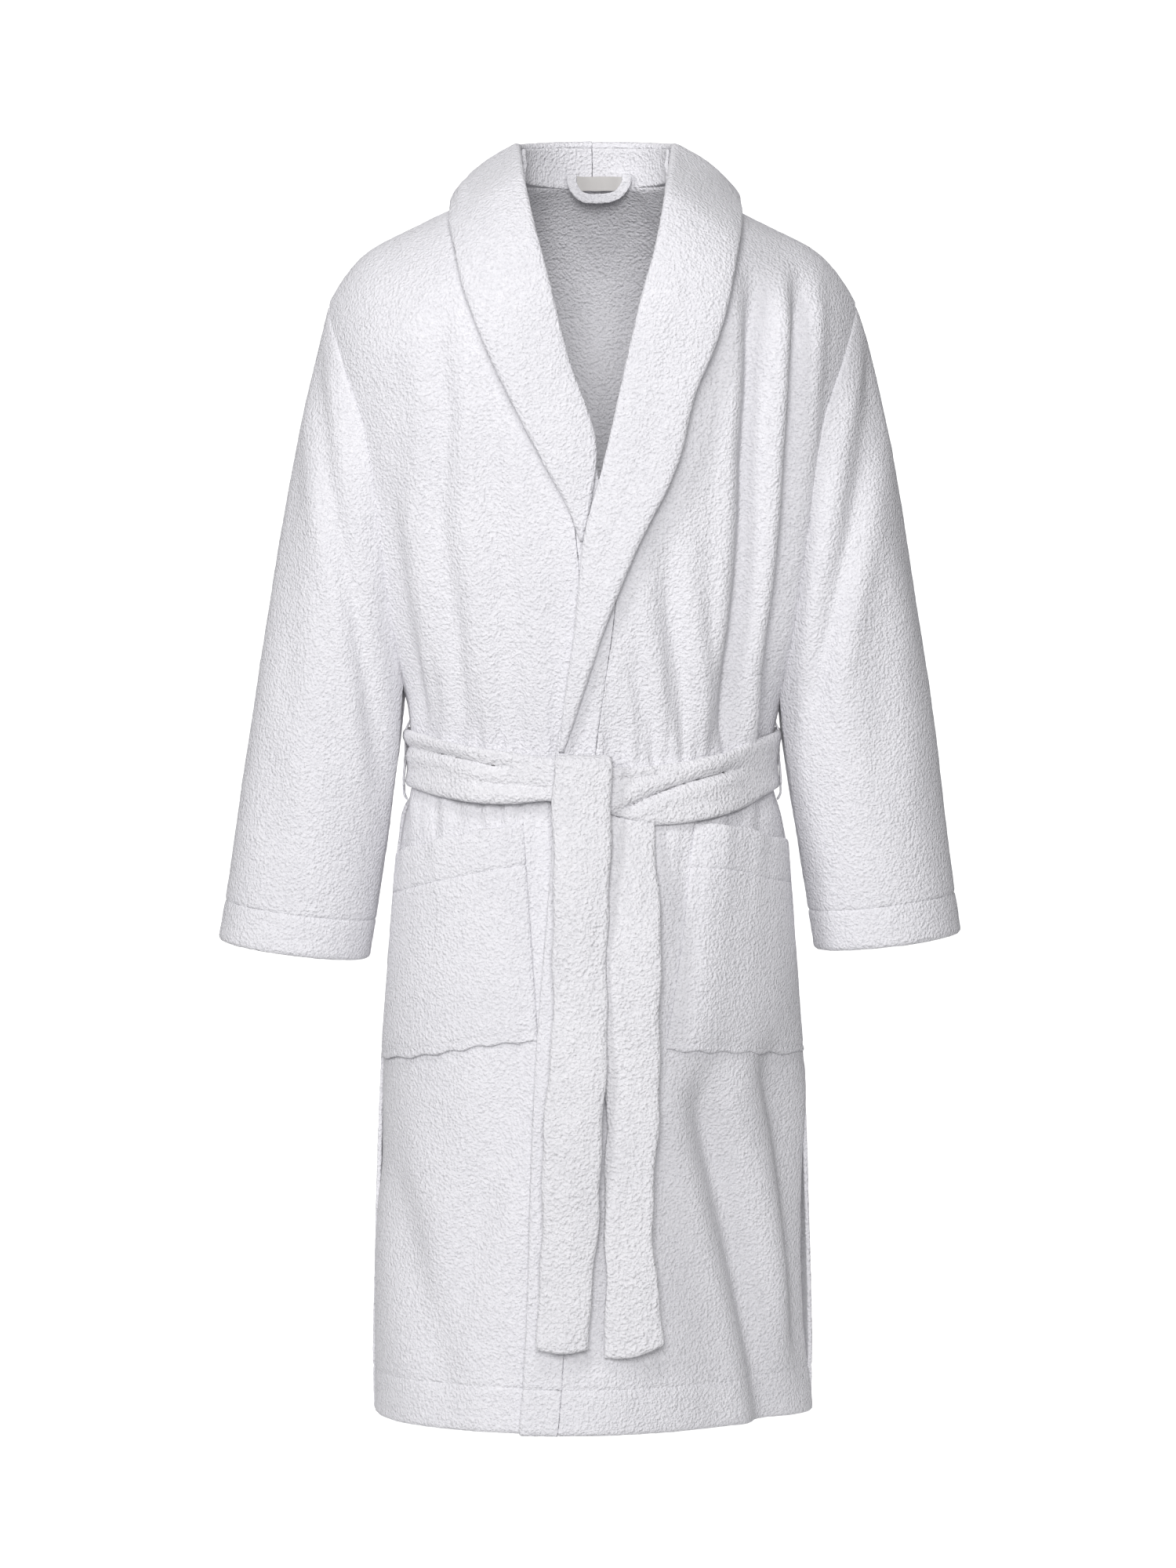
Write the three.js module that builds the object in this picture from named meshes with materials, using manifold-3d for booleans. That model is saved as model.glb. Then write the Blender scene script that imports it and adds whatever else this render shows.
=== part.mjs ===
// A shawl-collar terry bathrobe, belted and filled out as if worn.
// Millimetres. +Z is up, -Y is the front, +X is the wearer's left.
// The origin is the centre of the neck hole, level with the back neck seam.
import * as THREE from 'three';
import * as BufferGeometryUtils from 'three/addons/utils/BufferGeometryUtils.js';
import Module from 'manifold-3d';

const wasm = await Module();
wasm.setup();

// ---- Driving dimensions ----

const bodyLength = 1166;       // back neck seam down to the hem
const shoulderHalfWidth = 247; // centre to the top of the armhole seam
const chestHalfWidth = 222;
const underarmHalfWidth = 175;
const waistHalfWidth = 161;    // under the belt
const hipHalfWidth = 189;
const hemHalfWidth = 200;
const shoulderHalfDepth = 118;
const chestHalfDepth = 130;
const waistHalfDepth = 112;
const hipHalfDepth = 130;
const hemHalfDepth = 138;

const shoulderPeak = 8;        // height of the shoulder ridge at the centre
const shoulderSlope = 0.5;     // fall of the ridge per millimetre outwards
const shoulderCapWidth = 62;   // outer part of the ridge that rounds down
const shoulderCapDrop = 45;
const chestDrop = 300;         // neck seam down to the widest part of the chest
const underarmDrop = 472;      // neck seam down to the underarm
const waistDrop = 560;         // neck seam down to the middle of the belt

const cloth = 4;               // one layer of terry with its pile
const facedCloth = 6;          // two layers sewn together and pressed
const layerGap = 0.3;          // clearance between layers that touch
const seamGap = 0.6;           // clearance between panels that meet edge to edge
const armholeEase = 3;         // how far the armhole seam stands outside the body's form
const hemHeight = 33;          // depth of every turned-up hem
const bandWidth = 34;          // faced band down each front edge

const sleeveLength = 590;      // top of the armhole seam down to the cuff
const cuffHalfWidth = 66;
const sleeveHalfDepth = 62;
const sleeveTopHalf = 60;      // half-width of the sleeve where it enters the shoulder
const sleeveFlare = 116;       // from the hips' side out to the sleeve's outer edge at the underarm
const sleeveTiltAtCuff = 0.16; // outward travel per millimetre down

const neckHalfWidth = 75;
const neckBackDepth = 52;
const standHeight = 33;        // collar height above the back neck seam
const collarShoulderReach = 126;
const collarBackReach = 80;

const crossingDrop = 278;      // neck seam down to where the fronts cross
const pocketHeight = 190;
const pocketDrop = 22;         // from the belt's lower line in front down to the pockets' top
const pocketSlack = 12;        // how far the pocket mouth stands open
const pocketRimWidth = 8;      // stitched border of a pocket
const pocketRise = 28;         // how much higher the pocket's top is at its inner end
const pocketFootRise = 9;      // the same for its bottom edge

const beltWidth = 53;
const beltTailWidth = 52;
const beltRise = 36;           // how much the belt sags from the side seams to the front
const frontTailDrop = 1090;    // neck seam down to the end of the front tail
const backTailDrop = 1098;

const loopWidth = 56;
const loopDrop = 27;
const loopBand = 9;
const loopCentre = 5;
const loopSetBack = 11;        // from the neck seam to the middle of the hanging loop
const labelSetBack = 4;        // from the middle of the loop to the label
const labelDrop = 3;           // neck seam down to the label
const labelWidth = 44;
const labelHeight = 15;
const labelThickness = 0.8;

// ---- Values worked out from the driving dimensions ----

const hemZ = -bodyLength;
const underarmZ = -underarmDrop;
const waistZ = -waistDrop;
const hipZ = waistZ - 202;
const chestZ = -chestDrop;
const cutMargin = 40;          // how far a cutter runs past what it cuts
const columns = 40;            // facets round a section
const sectionPower = 2.4;      // squareness of a section, 2 is an ellipse
const shoulderRound = 0.45;    // share of the yoke that rounds over the ridge

const armholeTopX = shoulderHalfWidth + armholeEase;
const armholeTop = new THREE.Vector2(armholeTopX, ridgeHeight(armholeTopX));
const armholeFoot = new THREE.Vector2(underarmHalfWidth + armholeEase, underarmZ);
const shoulderZ = ridgeHeight(shoulderHalfWidth);
const flatRowZ = downArmhole(0.58);  // below here every section is level

const terry = new THREE.MeshStandardMaterial({ color: 0xeef0f2, roughness: 0.95, metalness: 0 });
const labelWeave = new THREE.MeshStandardMaterial({ color: 0xa9a6a2, roughness: 0.6, metalness: 0 });

// Height at a share of the way from the shoulder down to the underarm.
function downArmhole(share) {
  return THREE.MathUtils.lerp(ridgeHeight(shoulderHalfWidth), underarmZ, share);
}

// ---- Small helpers ----

// A smooth curve through [position, value] stations, never overshooting them.
function along(stations, position) {
  const rising = stations[0][0] < stations[stations.length - 1][0];
  const list = rising ? stations : [...stations].reverse();
  if (position <= list[0][0]) return list[0][1];
  const last = list.length - 1;
  if (position >= list[last][0]) return list[last][1];
  const slopes = list.slice(1).map((station, i) => (station[1] - list[i][1]) / (station[0] - list[i][0]));
  const tangent = (i) => {
    if (i === 0) return slopes[0];
    if (i === last) return slopes[last - 1];
    const product = slopes[i - 1] * slopes[i];
    return product <= 0 ? 0 : (2 * product) / (slopes[i - 1] + slopes[i]);
  };
  const i = list.findIndex((station, index) => index < last && position <= list[index + 1][0]);
  const span = list[i + 1][0] - list[i][0];
  const t = (position - list[i][0]) / span;
  const start = list[i][1] * (1 + 2 * t) * (1 - t) ** 2 + tangent(i) * span * t * (1 - t) ** 2;
  const end = list[i + 1][1] * (3 - 2 * t) * t ** 2 - tangent(i + 1) * span * (1 - t) * t ** 2;
  return start + end;
}

// The wall through rows of points, each row a closed loop.
function wallBetween(rows) {
  const count = rows[0].length;
  const positions = [];
  rows.slice(1).forEach((lower, i) => {
    const upper = rows[i];
    for (let j = 0; j < count; j += 1) {
      const k = (j + 1) % count;
      addTriangle(positions, upper[j], lower[j], lower[k]);
      addTriangle(positions, upper[j], lower[k], upper[k]);
    }
  });
  return positions;
}

function addTriangle(positions, ...corners) {
  corners.forEach((p) => positions.push(p.x, p.y, p.z));
}

// Closes rows of points, each a loop, into a solid with a flat fan at each open end.
function loopSolid(rows) {
  const positions = wallBetween(rows);
  const count = rows[0].length;
  const middle = (row) => row.reduce((sum, p) => sum.add(p), new THREE.Vector3()).divideScalar(count);
  const top = rows[0];
  const foot = rows[rows.length - 1];
  for (let j = 0; j < count; j += 1) {
    const k = (j + 1) % count;
    addTriangle(positions, middle(top), top[j], top[k]);
    addTriangle(positions, middle(foot), foot[k], foot[j]);
  }
  return geometryFrom(positions);
}

function edgeSteps(from, to, count) {
  return Array.from({ length: count + 1 }, (_, i) => from + ((to - from) * i) / count);
}

function geometryFrom(positions) {
  const geometry = new THREE.BufferGeometry();
  geometry.setAttribute('position', new THREE.Float32BufferAttribute(positions, 3));
  return geometry;
}

// Thickens a grid of points into a closed sheet, half to each side of the grid.
function sheetSolid(grid, thickness) {
  const lastRow = grid.length - 1;
  const lastColumn = grid[0].length - 1;
  const normalAt = (i, j) => {
    const down = grid[Math.min(i + 1, lastRow)][j].clone().sub(grid[Math.max(i - 1, 0)][j]);
    const across = grid[i][Math.min(j + 1, lastColumn)].clone().sub(grid[i][Math.max(j - 1, 0)]);
    return down.cross(across).normalize();
  };
  const side = (sign) => grid.map((row, i) => row.map((p, j) => (
    p.clone().addScaledVector(normalAt(i, j), (sign * thickness) / 2))));
  const front = side(1);
  const back = side(-1);
  const loops = front.map((row, i) => [...row, ...[...back[i]].reverse()]);
  return geometryFrom([...wallBetween(loops), ...endStrips(loops)]);
}

// A strip across each end of a sheet, so that a curved end stays on its own surface.
function endStrips(loops) {
  const count = loops[0].length;
  const positions = [];
  [[loops[0], false], [loops[loops.length - 1], true]].forEach(([loop, flip]) => {
    for (let j = 0; j < count / 2 - 1; j += 1) {
      const [a, b] = [loop[j], loop[j + 1]];
      const [c, d] = [loop[count - 2 - j], loop[count - 1 - j]];
      addTriangle(positions, a, ...(flip ? [c, b] : [b, c]));
      addTriangle(positions, a, ...(flip ? [d, c] : [c, d]));
    }
  });
  return positions;
}

function solidOf(geometry) {
  const plain = geometry.clone();
  plain.deleteAttribute('normal');
  plain.deleteAttribute('uv');
  const merged = BufferGeometryUtils.mergeVertices(plain, 1e-4);
  const index = Array.from(merged.getIndex().array);
  const triangles = [];
  for (let i = 0; i < index.length; i += 3) {
    const [a, b, c] = index.slice(i, i + 3);
    if (a !== b && b !== c && c !== a) triangles.push(a, b, c);
  }
  const solid = new wasm.Manifold(new wasm.Mesh({
    numProp: 3,
    vertProperties: merged.getAttribute('position').array,
    triVerts: new Uint32Array(triangles),
  }));
  return solid.volume() < 0 ? solidOf(flipped(geometry)) : solid;
}

function flipped(geometry) {
  const source = geometry.getAttribute('position').array;
  const positions = [];
  for (let i = 0; i < source.length; i += 9) {
    const [a, b, c] = [0, 3, 6].map((corner) => source.slice(i + corner, i + corner + 3));
    positions.push(...a, ...c, ...b);
  }
  return geometryFrom(positions);
}

function geometryOf(solid) {
  const mesh = solid.getMesh();
  const geometry = new THREE.BufferGeometry();
  geometry.setAttribute('position', new THREE.BufferAttribute(mesh.vertProperties, mesh.numProp));
  geometry.setIndex(new THREE.BufferAttribute(mesh.triVerts, 1));
  return geometry;
}

// A cutter with a front-view outline of [x, z] corners, from one depth to another.
function prism(outline, fromY, toY) {
  const shape = new THREE.Shape(outline.map(([x, z]) => new THREE.Vector2(x, z)));
  const geometry = new THREE.ExtrudeGeometry(shape, { depth: toY - fromY, bevelEnabled: false });
  geometry.rotateX(Math.PI / 2);
  geometry.translate(0, toY, 0);
  return solidOf(geometry);
}

const wide = shoulderHalfWidth * 2;
const deep = hemHalfDepth * 2;
const frontCut = (outline) => prism(outline, -deep, -layerGap / 2);
const backCut = (outline) => prism(outline, layerGap / 2, deep);

function ridgeHeight(x) {
  const out = Math.abs(x);
  const cap = Math.max(0, out - (shoulderHalfWidth + 5 - shoulderCapWidth)) / shoulderCapWidth;
  return shoulderPeak - shoulderSlope * (Math.hypot(out, 40) - 40) - shoulderCapDrop * cap ** 2.5;
}

// ---- The body's form: one closed section for every height ----

const armpitFoldZ = THREE.MathUtils.lerp(chestZ, underarmZ, 0.58);
const aboveWaistZ = waistZ + 40;
const belowWaistZ = waistZ - 47;
const highHipZ = waistZ - 100;

const widthStations = [
  [shoulderZ, shoulderHalfWidth],
  [chestZ, chestHalfWidth],
  [armpitFoldZ, (chestHalfWidth + underarmHalfWidth) / 2 + 4],
  [underarmZ, underarmHalfWidth],
  [aboveWaistZ, waistHalfWidth + 4],
  [waistZ, waistHalfWidth],
  [belowWaistZ, waistHalfWidth + 11],
  [highHipZ, (waistHalfWidth + 3 * hipHalfWidth) / 4 - 2],
  [hipZ, hipHalfWidth],
  [hemZ, hemHalfWidth],
];
const depthStations = [
  [shoulderZ, shoulderHalfDepth],
  [chestZ, chestHalfDepth],
  [waistZ, waistHalfDepth],
  [hipZ, hipHalfDepth],
  [hemZ, hemHalfDepth],
];
const yokeRows = [0, 0.02, 0.06, 0.12, 0.2, 0.32, 0.45, 0.7, 1];
const levelRows = [
  armpitFoldZ, underarmZ, aboveWaistZ, waistZ, belowWaistZ, highHipZ, hipZ,
  (hipZ * 3 + hemZ) / 4, (hipZ + hemZ) / 2, hemZ - cutMargin,
];

function sectionLoop(halfWidth, halfDepth, heightAt, offsetAt) {
  return Array.from({ length: columns }, (_, j) => {
    const angle = (2 * Math.PI * j) / columns;
    const bend = (value) => Math.sign(value) * Math.abs(value) ** (2 / sectionPower);
    const nearX = halfWidth * bend(Math.cos(angle));
    const offset = offsetAt(nearX, Math.sin(angle) < -1e-9);
    const x = (halfWidth + offset) * bend(Math.cos(angle));
    const y = Math.abs(Math.sin(angle)) < 1e-9 ? 0 : halfDepth(offset) * bend(Math.sin(angle));
    return new THREE.Vector3(x, y, heightAt(nearX, offset));
  });
}

// The whole body, grown outwards by offsetAt(x, isFront).
function bodyForm(offsetAt) {
  const edgeZ = (v) => (1 - v) * shoulderZ + v * flatRowZ;
  const yoke = yokeRows.map((v) => {
    const round = Math.sqrt(1 - (1 - Math.min(v / shoulderRound, 1)) ** 2);
    const depth = (offset) => (along(depthStations, edgeZ(v)) + offset) * round;
    const height = (x, offset) => (1 - v) * (ridgeHeight(x) + offset) + v * flatRowZ;
    return sectionLoop(along(widthStations, edgeZ(v)), depth, height, offsetAt);
  });
  const level = levelRows.map((z) => (
    sectionLoop(along(widthStations, z), (offset) => along(depthStations, z) + offset, () => z, offsetAt)));
  return solidOf(loopSolid([...yoke, ...level]));
}

// How far the front of the body stands out at a place, for what is laid on it.
function frontDepth(x, z) {
  const v = Math.min(Math.max((ridgeHeight(x) - z) / (ridgeHeight(x) - flatRowZ), 0), 1);
  const round = Math.sqrt(1 - (1 - Math.min(v / shoulderRound, 1)) ** 2);
  const edge = (1 - v) * shoulderZ + v * flatRowZ;
  const level = v < 1 ? edge : z;
  const share = Math.min(Math.abs(x) / along(widthStations, level), 1);
  return along(depthStations, level) * round * (1 - share ** sectionPower) ** (1 / sectionPower);
}

// ---- Sleeves: a tapered tube that runs up inside the shoulder ----

const cuffZ = armholeTop.y - sleeveLength;
const sleeveOuter = [
  [armholeTop.y, shoulderHalfWidth],
  [underarmZ, hipHalfWidth + sleeveFlare],
  [cuffZ, hipHalfWidth + sleeveFlare + (underarmZ - cuffZ) * sleeveTiltAtCuff],
];
const sleeveColumns = 24;      // facets round a sleeve

const sleeveMiddle = (z) => along(sleeveOuter, z) - sleeveHalf(z);

function sleeveHalf(z) {
  const atUnderarm = (along(sleeveOuter, underarmZ) - armholeFoot.x) / 2;
  return along([[armholeTop.y, sleeveTopHalf], [underarmZ, atUnderarm], [cuffZ, cuffHalfWidth]], z);
}

function sleeveForm(side, offset) {
  const crown = [[0.35, 10], [0.8, -5], [1, -30]];
  const rows = crown.map(([share, rise]) => [armholeTop.y + rise, share]);
  const upper = [0.28, 0.58, 0.85].map(downArmhole);
  const lower = [underarmZ, (underarmZ + cuffZ) / 2, cuffZ, cuffZ - cutMargin];
  [...upper, ...lower].forEach((z) => rows.push([z, 1]));
  const loops = rows.map(([z, share]) => Array.from({ length: sleeveColumns }, (_, j) => {
    const angle = (2 * Math.PI * j) / sleeveColumns;
    const level = Math.max(z, cuffZ);
    const drift = (level - z) * sleeveTiltAtCuff;
    const half = sleeveHalf(Math.min(level, armholeTop.y)) * share + offset;
    const middle = sleeveMiddle(Math.min(level, armholeTop.y)) + drift;
    return new THREE.Vector3(
      side * (middle + half * Math.cos(angle)),
      side * (sleeveHalfDepth * share + offset) * Math.sin(angle),
      z,
    );
  }));
  return solidOf(loopSolid(loops));
}

const sides = { right: -1, left: 1 };
const armholeRun = new THREE.Vector2().subVectors(armholeTop, armholeFoot).normalize();
const armholeOut = new THREE.Vector2(-armholeRun.y, armholeRun.x).negate();

// Everything outside one armhole seam, and below it outside the gap between body and sleeve.
function armholeCutter(side, beyond) {
  const top = armholeTop.clone().addScaledVector(armholeOut, beyond);
  const foot = armholeFoot.clone().addScaledVector(armholeOut, beyond);
  const upper = top.clone().addScaledVector(armholeRun, bodyLength);
  const gap = edgeSteps(underarmZ - 15, cuffZ - cutMargin, 5).map((z) => {
    const sleeveEdge = sleeveMiddle(z) - sleeveHalf(z);
    return new THREE.Vector2((along(widthStations, z) + sleeveEdge) / 2, z);
  });
  const far = bodyLength;
  const below = new THREE.Vector2(far, gap[gap.length - 1].y);
  const above = new THREE.Vector2(far, far);
  const outline = [upper, top, foot, ...gap, below, above];
  return prism(outline.map((p) => [side * p.x, p.y]), -deep, deep);
}

function clearOfSleeves(solid) {
  return solid.subtract(armholeCutter(-1, 0)).subtract(armholeCutter(1, 0));
}

function garmentForm(offsetAt, sleeveOffset) {
  return bodyForm(offsetAt).add(sleeveForm(-1, sleeveOffset)).add(sleeveForm(1, sleeveOffset));
}

const evenly = (offset) => () => offset;
const underSkin = garmentForm(evenly(0), 0);
const overSkin = garmentForm(evenly(cloth), cloth);
const singleLayer = overSkin.subtract(underSkin);

// The left front lies over the right one near the centre and rejoins the body at the side.
const overlapFull = 70;        // x out to which the left front is lifted whole
const overlapEnd = 150;        // x where it lies on the body again
const overlapLift = (x) => {
  const settled = THREE.MathUtils.smoothstep(x, overlapFull, overlapEnd);
  return (facedCloth + layerGap) * (1 - settled);
};
const liftedBy = (extra) => (x, isFront) => (isFront ? overlapLift(x) : 0) + extra;

// ---- Front edges: x of each edge at a height, seen from the front ----

const crossingZ = -crossingDrop;
const collarEndZ = crossingZ - 62;   // where the right collar half ends
const beltTopZ = waistZ + 12;
const midSkirtZ = (waistZ + hemZ) / 2 + 27;
const leftFrontEdge = [
  [10, 72], [-85, 51], [-161, 32], [crossingZ, 9], [collarEndZ, -7], [beltTopZ, -32],
  [midSkirtZ, -50], [hemZ, -65],
];
const rightFrontEdge = [
  [10, -68], [-71, -53], [-170, -24], [crossingZ, 9], [beltTopZ, 32], [midSkirtZ, 50], [hemZ, 65],
];
const leftRollX = (z) => along(leftFrontEdge, z);
const rightRollX = (z) => along(rightFrontEdge, z);
const fullDrop = edgeSteps(2 * cutMargin, hemZ, 16);

function panelOutline(side, edgeX) {
  const inner = fullDrop.map((z) => [edgeX(z) + side * (bandWidth + seamGap), z]);
  return [...inner, [side * wide, hemZ], [side * wide, 2 * cutMargin]];
}

function bandOutline(side, edgeX) {
  const inner = fullDrop.map((z) => [edgeX(z), z]);
  const outer = fullDrop.map((z) => [edgeX(z) + side * bandWidth, z]).reverse();
  return [...inner, ...outer];
}

// ---- Body panels ----

function backPanel() {
  const facets = 32;
  const rim = Array.from({ length: facets }, (_, i) => {
    const angle = (2 * Math.PI * i) / facets;
    return new THREE.Vector2(neckHalfWidth * Math.cos(angle), neckBackDepth * Math.sin(angle));
  });
  const reach = -2 * shoulderZ;
  const neckHole = new THREE.ExtrudeGeometry(new THREE.Shape(rim), { depth: reach, bevelEnabled: false });
  neckHole.translate(0, 0, -reach / 2);
  const outline = [[-wide, hemZ], [wide, hemZ], [wide, wide], [-wide, wide]];
  return clearOfSleeves(singleLayer.intersect(backCut(outline))).subtract(solidOf(neckHole));
}

function frontPanelRight() {
  return clearOfSleeves(singleLayer.intersect(frontCut(panelOutline(-1, rightRollX))));
}

const leftLower = garmentForm(liftedBy(0), 0);
const leftUpper = garmentForm(liftedBy(cloth), cloth);
const leftFaced = bodyForm(liftedBy(facedCloth));

function frontPanelLeft() {
  return clearOfSleeves(leftUpper.subtract(leftLower).intersect(frontCut(panelOutline(1, leftRollX))));
}

function frontBandRight() {
  const outline = bandOutline(-1, rightRollX);
  return bodyForm(evenly(facedCloth)).subtract(bodyForm(evenly(0))).intersect(frontCut(outline));
}

function frontBandLeft() {
  return leftFaced.subtract(bodyForm(liftedBy(0))).intersect(frontCut(bandOutline(1, leftRollX)));
}

// ---- Hems: the layer turned up inside each lower edge ----

const hemTopZ = hemZ + hemHeight;
const hemOutline = (fromX, toX) => [[fromX, hemZ], [toX, hemZ], [toX, hemTopZ], [fromX, hemTopZ]];

function hemLayer(lift) {
  const outer = bodyForm((x, isFront) => lift(x, isFront) - layerGap);
  const inner = bodyForm((x, isFront) => lift(x, isFront) - layerGap - cloth);
  return outer.subtract(inner);
}

const hemBack = () => hemLayer(evenly(0)).intersect(backCut(hemOutline(-wide, wide)));

function hemFrontRight() {
  const innerX = rightRollX(hemZ) - bandWidth - seamGap;
  return hemLayer(evenly(0)).intersect(frontCut(hemOutline(-wide, innerX)));
}

// The left front's hem stops where the right front begins to lie behind it.
function hemFrontLeft() {
  const innerX = rightRollX(hemZ) + seamGap;
  return hemLayer(liftedBy(0)).intersect(frontCut(hemOutline(innerX, wide)));
}

// ---- Sleeves and their hems ----

function cuffCutter(side, rise) {
  const foot = [sleeveMiddle(cuffZ), cuffZ + rise];
  const drop = wide * sleeveTiltAtCuff;
  const outline = [
    [side * (foot[0] - wide), foot[1] - drop], [side * (foot[0] + wide), foot[1] + drop],
    [side * (foot[0] + wide), foot[1] - wide], [side * (foot[0] - wide), foot[1] - wide - drop],
  ];
  return prism(outline, -deep, deep);
}

function sleeve(side) {
  return singleLayer.intersect(armholeCutter(side, seamGap)).subtract(cuffCutter(side, 0));
}

function sleeveHem(side) {
  const layer = sleeveForm(side, -layerGap).subtract(sleeveForm(side, -layerGap - cloth));
  return layer.intersect(cuffCutter(side, hemHeight)).subtract(cuffCutter(side, 0));
}

// ---- The belt's upper and lower line, seen from the front ----

const beltTop = (x) => waistZ + beltRise * Math.min(Math.abs(x) / waistHalfWidth, 1) ** 1.6;
const beltFoot = (x) => beltTop(x) - beltWidth;

// ---- Pockets: open at the top, standing off the panel by their slack ----

const pocketTopZ = beltFoot(0) - pocketDrop;
const pocketBottomZ = pocketTopZ - pocketHeight;
const pocketInnerTopZ = pocketTopZ + pocketRise;
const pocketInnerFootZ = pocketBottomZ + pocketFootRise;
const pocketShape = {
  right: {
    inner: [[pocketInnerTopZ, -64], [pocketInnerFootZ, -51]],
    outer: [[pocketTopZ, -188], [pocketBottomZ, -200]],
  },
  left: {
    inner: [[pocketInnerTopZ, 92], [pocketInnerFootZ, 66]],
    outer: [[pocketTopZ, 186], [pocketBottomZ, 197]],
  },
};

function pocketOutline(name, inset) {
  const { inner, outer } = pocketShape[name];
  const side = sides[name];
  const [top, bottom] = inner;
  const [outerTop, outerBottom] = outer;
  return [
    [top[1] + side * inset, top[0]], [outerTop[1] - side * inset, outerTop[0]],
    [outerBottom[1] - side * inset, outerBottom[0] + inset], [bottom[1] + side * inset, bottom[0] + inset],
  ];
}

// How far a pocket hangs off the panel: fully in front, hardly at all near the side seam.
const sideSlack = 0.5;
const slackFull = 120;         // distance from the centre out to which the slack is whole
const slackEnd = 175;          // distance where only the side slack is left
const slackAt = (x) => {
  const faded = THREE.MathUtils.smoothstep(Math.abs(x), slackFull, slackEnd);
  return THREE.MathUtils.lerp(pocketSlack, sideSlack, faded);
};

// The body out to a pocket's panel, plus a share of the pocket's slack and any cloth over it.
function pocketForm(name, slackShare, extra) {
  const lift = sides[name] > 0 ? overlapLift : () => 0;
  const under = cloth + layerGap;
  return bodyForm((x, isFront) => under + extra + (isFront ? lift(x) + slackShare * slackAt(x) : 0));
}

function pocket(name) {
  const block = pocketForm(name, 1, cloth)
    .subtract(pocketForm(name, 0, 0))
    .intersect(frontCut(pocketOutline(name, 0)));
  const inside = pocketForm(name, 1, 0).intersect(frontCut(pocketRim(name)));
  return block.subtract(inside);
}

// The inside of the stitched rim: open upwards, closed at the sides and the foot.
function pocketRim(name) {
  const outline = pocketOutline(name, pocketRimWidth);
  outline[0][1] += cutMargin;
  outline[1][1] += cutMargin;
  return outline;
}

// The turned-in top of a pocket, hanging in the slack behind the pocket's face.
function pocketHem(name) {
  const [top, side] = pocketOutline(name, pocketRimWidth + seamGap);
  const outer = [sides[name] * (along(widthStations, side[1]) - 30), side[1] + 2];
  const outline = [top, outer, [outer[0], outer[1] - hemHeight], [top[0], top[1] - hemHeight]];
  return pocketForm(name, 0.9, 0).subtract(pocketForm(name, 0.5, 0)).intersect(frontCut(outline));
}

// ---- Shawl collar: a stand round the neck and a fall that becomes the lapel ----

const collarRows = 7;

const collarTopZ = standHeight - 2;

// Fold and outer edge of one collar half, in front view, below the shoulder ridge.
const rollAtRidge = { x: 70, z: 20 };
const edgeAtRidge = { x: collarShoulderReach, z: -24 };
const lapelShape = {
  right: {
    side: -1,
    lift: facedCloth + layerGap,
    fold: [[4, -68], [-71, -53], [-170, -24], [crossingZ, 3], [collarEndZ, -15]],
    edge: [[-43, -131], [-118, -119], [-194, -90], [crossingZ, -44], [collarEndZ, -16]],
  },
  left: {
    side: 1,
    lift: facedCloth * 2 + layerGap * 2,
    fold: [[4, 72], [-85, 52], [-161, 33], [crossingZ, 10], [collarEndZ, -6], [aboveWaistZ, -28]],
    edge: [[-43, 137], [-118, 128], [-207, 98], [crossingZ, 79], [collarEndZ - 15, 42], [aboveWaistZ, -20]],
  },
};
const lapelClearance = 2.5;
const collarHemZ = -8;         // lower edge of the collar at the centre back
const collarNeckGap = 10;      // from the neck hole to the fold at the centre back

// Rows of points from the centre back over the shoulder, then down the front to the lapel's end.
function collarHalf(name) {
  const { side, lift, fold, edge } = lapelShape[name];
  const across = [0, 1 / 3, 2 / 3, 1];
  const rows = [];
  for (let i = 0; i <= collarRows; i += 1) {
    const angle = (Math.PI / 2) * (1 - i / collarRows) + (i === 0 ? -0.004 : 0);
    rows.push(across.map((t) => {
      const reach = THREE.MathUtils.lerp(rollAtRidge.x, edgeAtRidge.x, t);
      const depth = THREE.MathUtils.lerp(neckBackDepth + collarNeckGap, collarBackReach, t);
      const ridge = THREE.MathUtils.lerp(rollAtRidge.z, edgeAtRidge.z, t);
      const back = THREE.MathUtils.lerp(collarTopZ, collarHemZ, t);
      const height = THREE.MathUtils.lerp(ridge, back, Math.sin(angle));
      return new THREE.Vector3(side * reach * Math.cos(angle), depth * Math.sin(angle), height);
    }));
  }
  const steps = 12;
  const foldRoute = pathThrough([[side * rollAtRidge.x, rollAtRidge.z], ...fold.map(([z, x]) => [x, z])]);
  const edgeRoute = pathThrough([[side * edgeAtRidge.x, edgeAtRidge.z], ...edge.map(([z, x]) => [x, z])]);
  for (let i = 1; i <= steps; i += 1) {
    const share = (i / steps) ** 2;
    const decay = (1 - share) ** 3;
    const start = foldRoute.getPoint(share);
    const end = edgeRoute.getPoint(share);
    rows.push(across.map((t) => {
      const x = THREE.MathUtils.lerp(start.x, end.x, t);
      const z = THREE.MathUtils.lerp(start.y, end.y, t);
      const rise = decay * (1 - t) * (rollAtRidge.z - ridgeHeight(rollAtRidge.x));
      const off = lift + lapelClearance + facedCloth / 2;
      return new THREE.Vector3(x, -frontDepth(x, z - rise - off) - off, z);
    }));
  }
  return solidOf(sheetSolid(rows, facedCloth));
}

function pathThrough(points) {
  return new THREE.SplineCurve(points.map(([x, z]) => new THREE.Vector2(x, z)));
}

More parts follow.
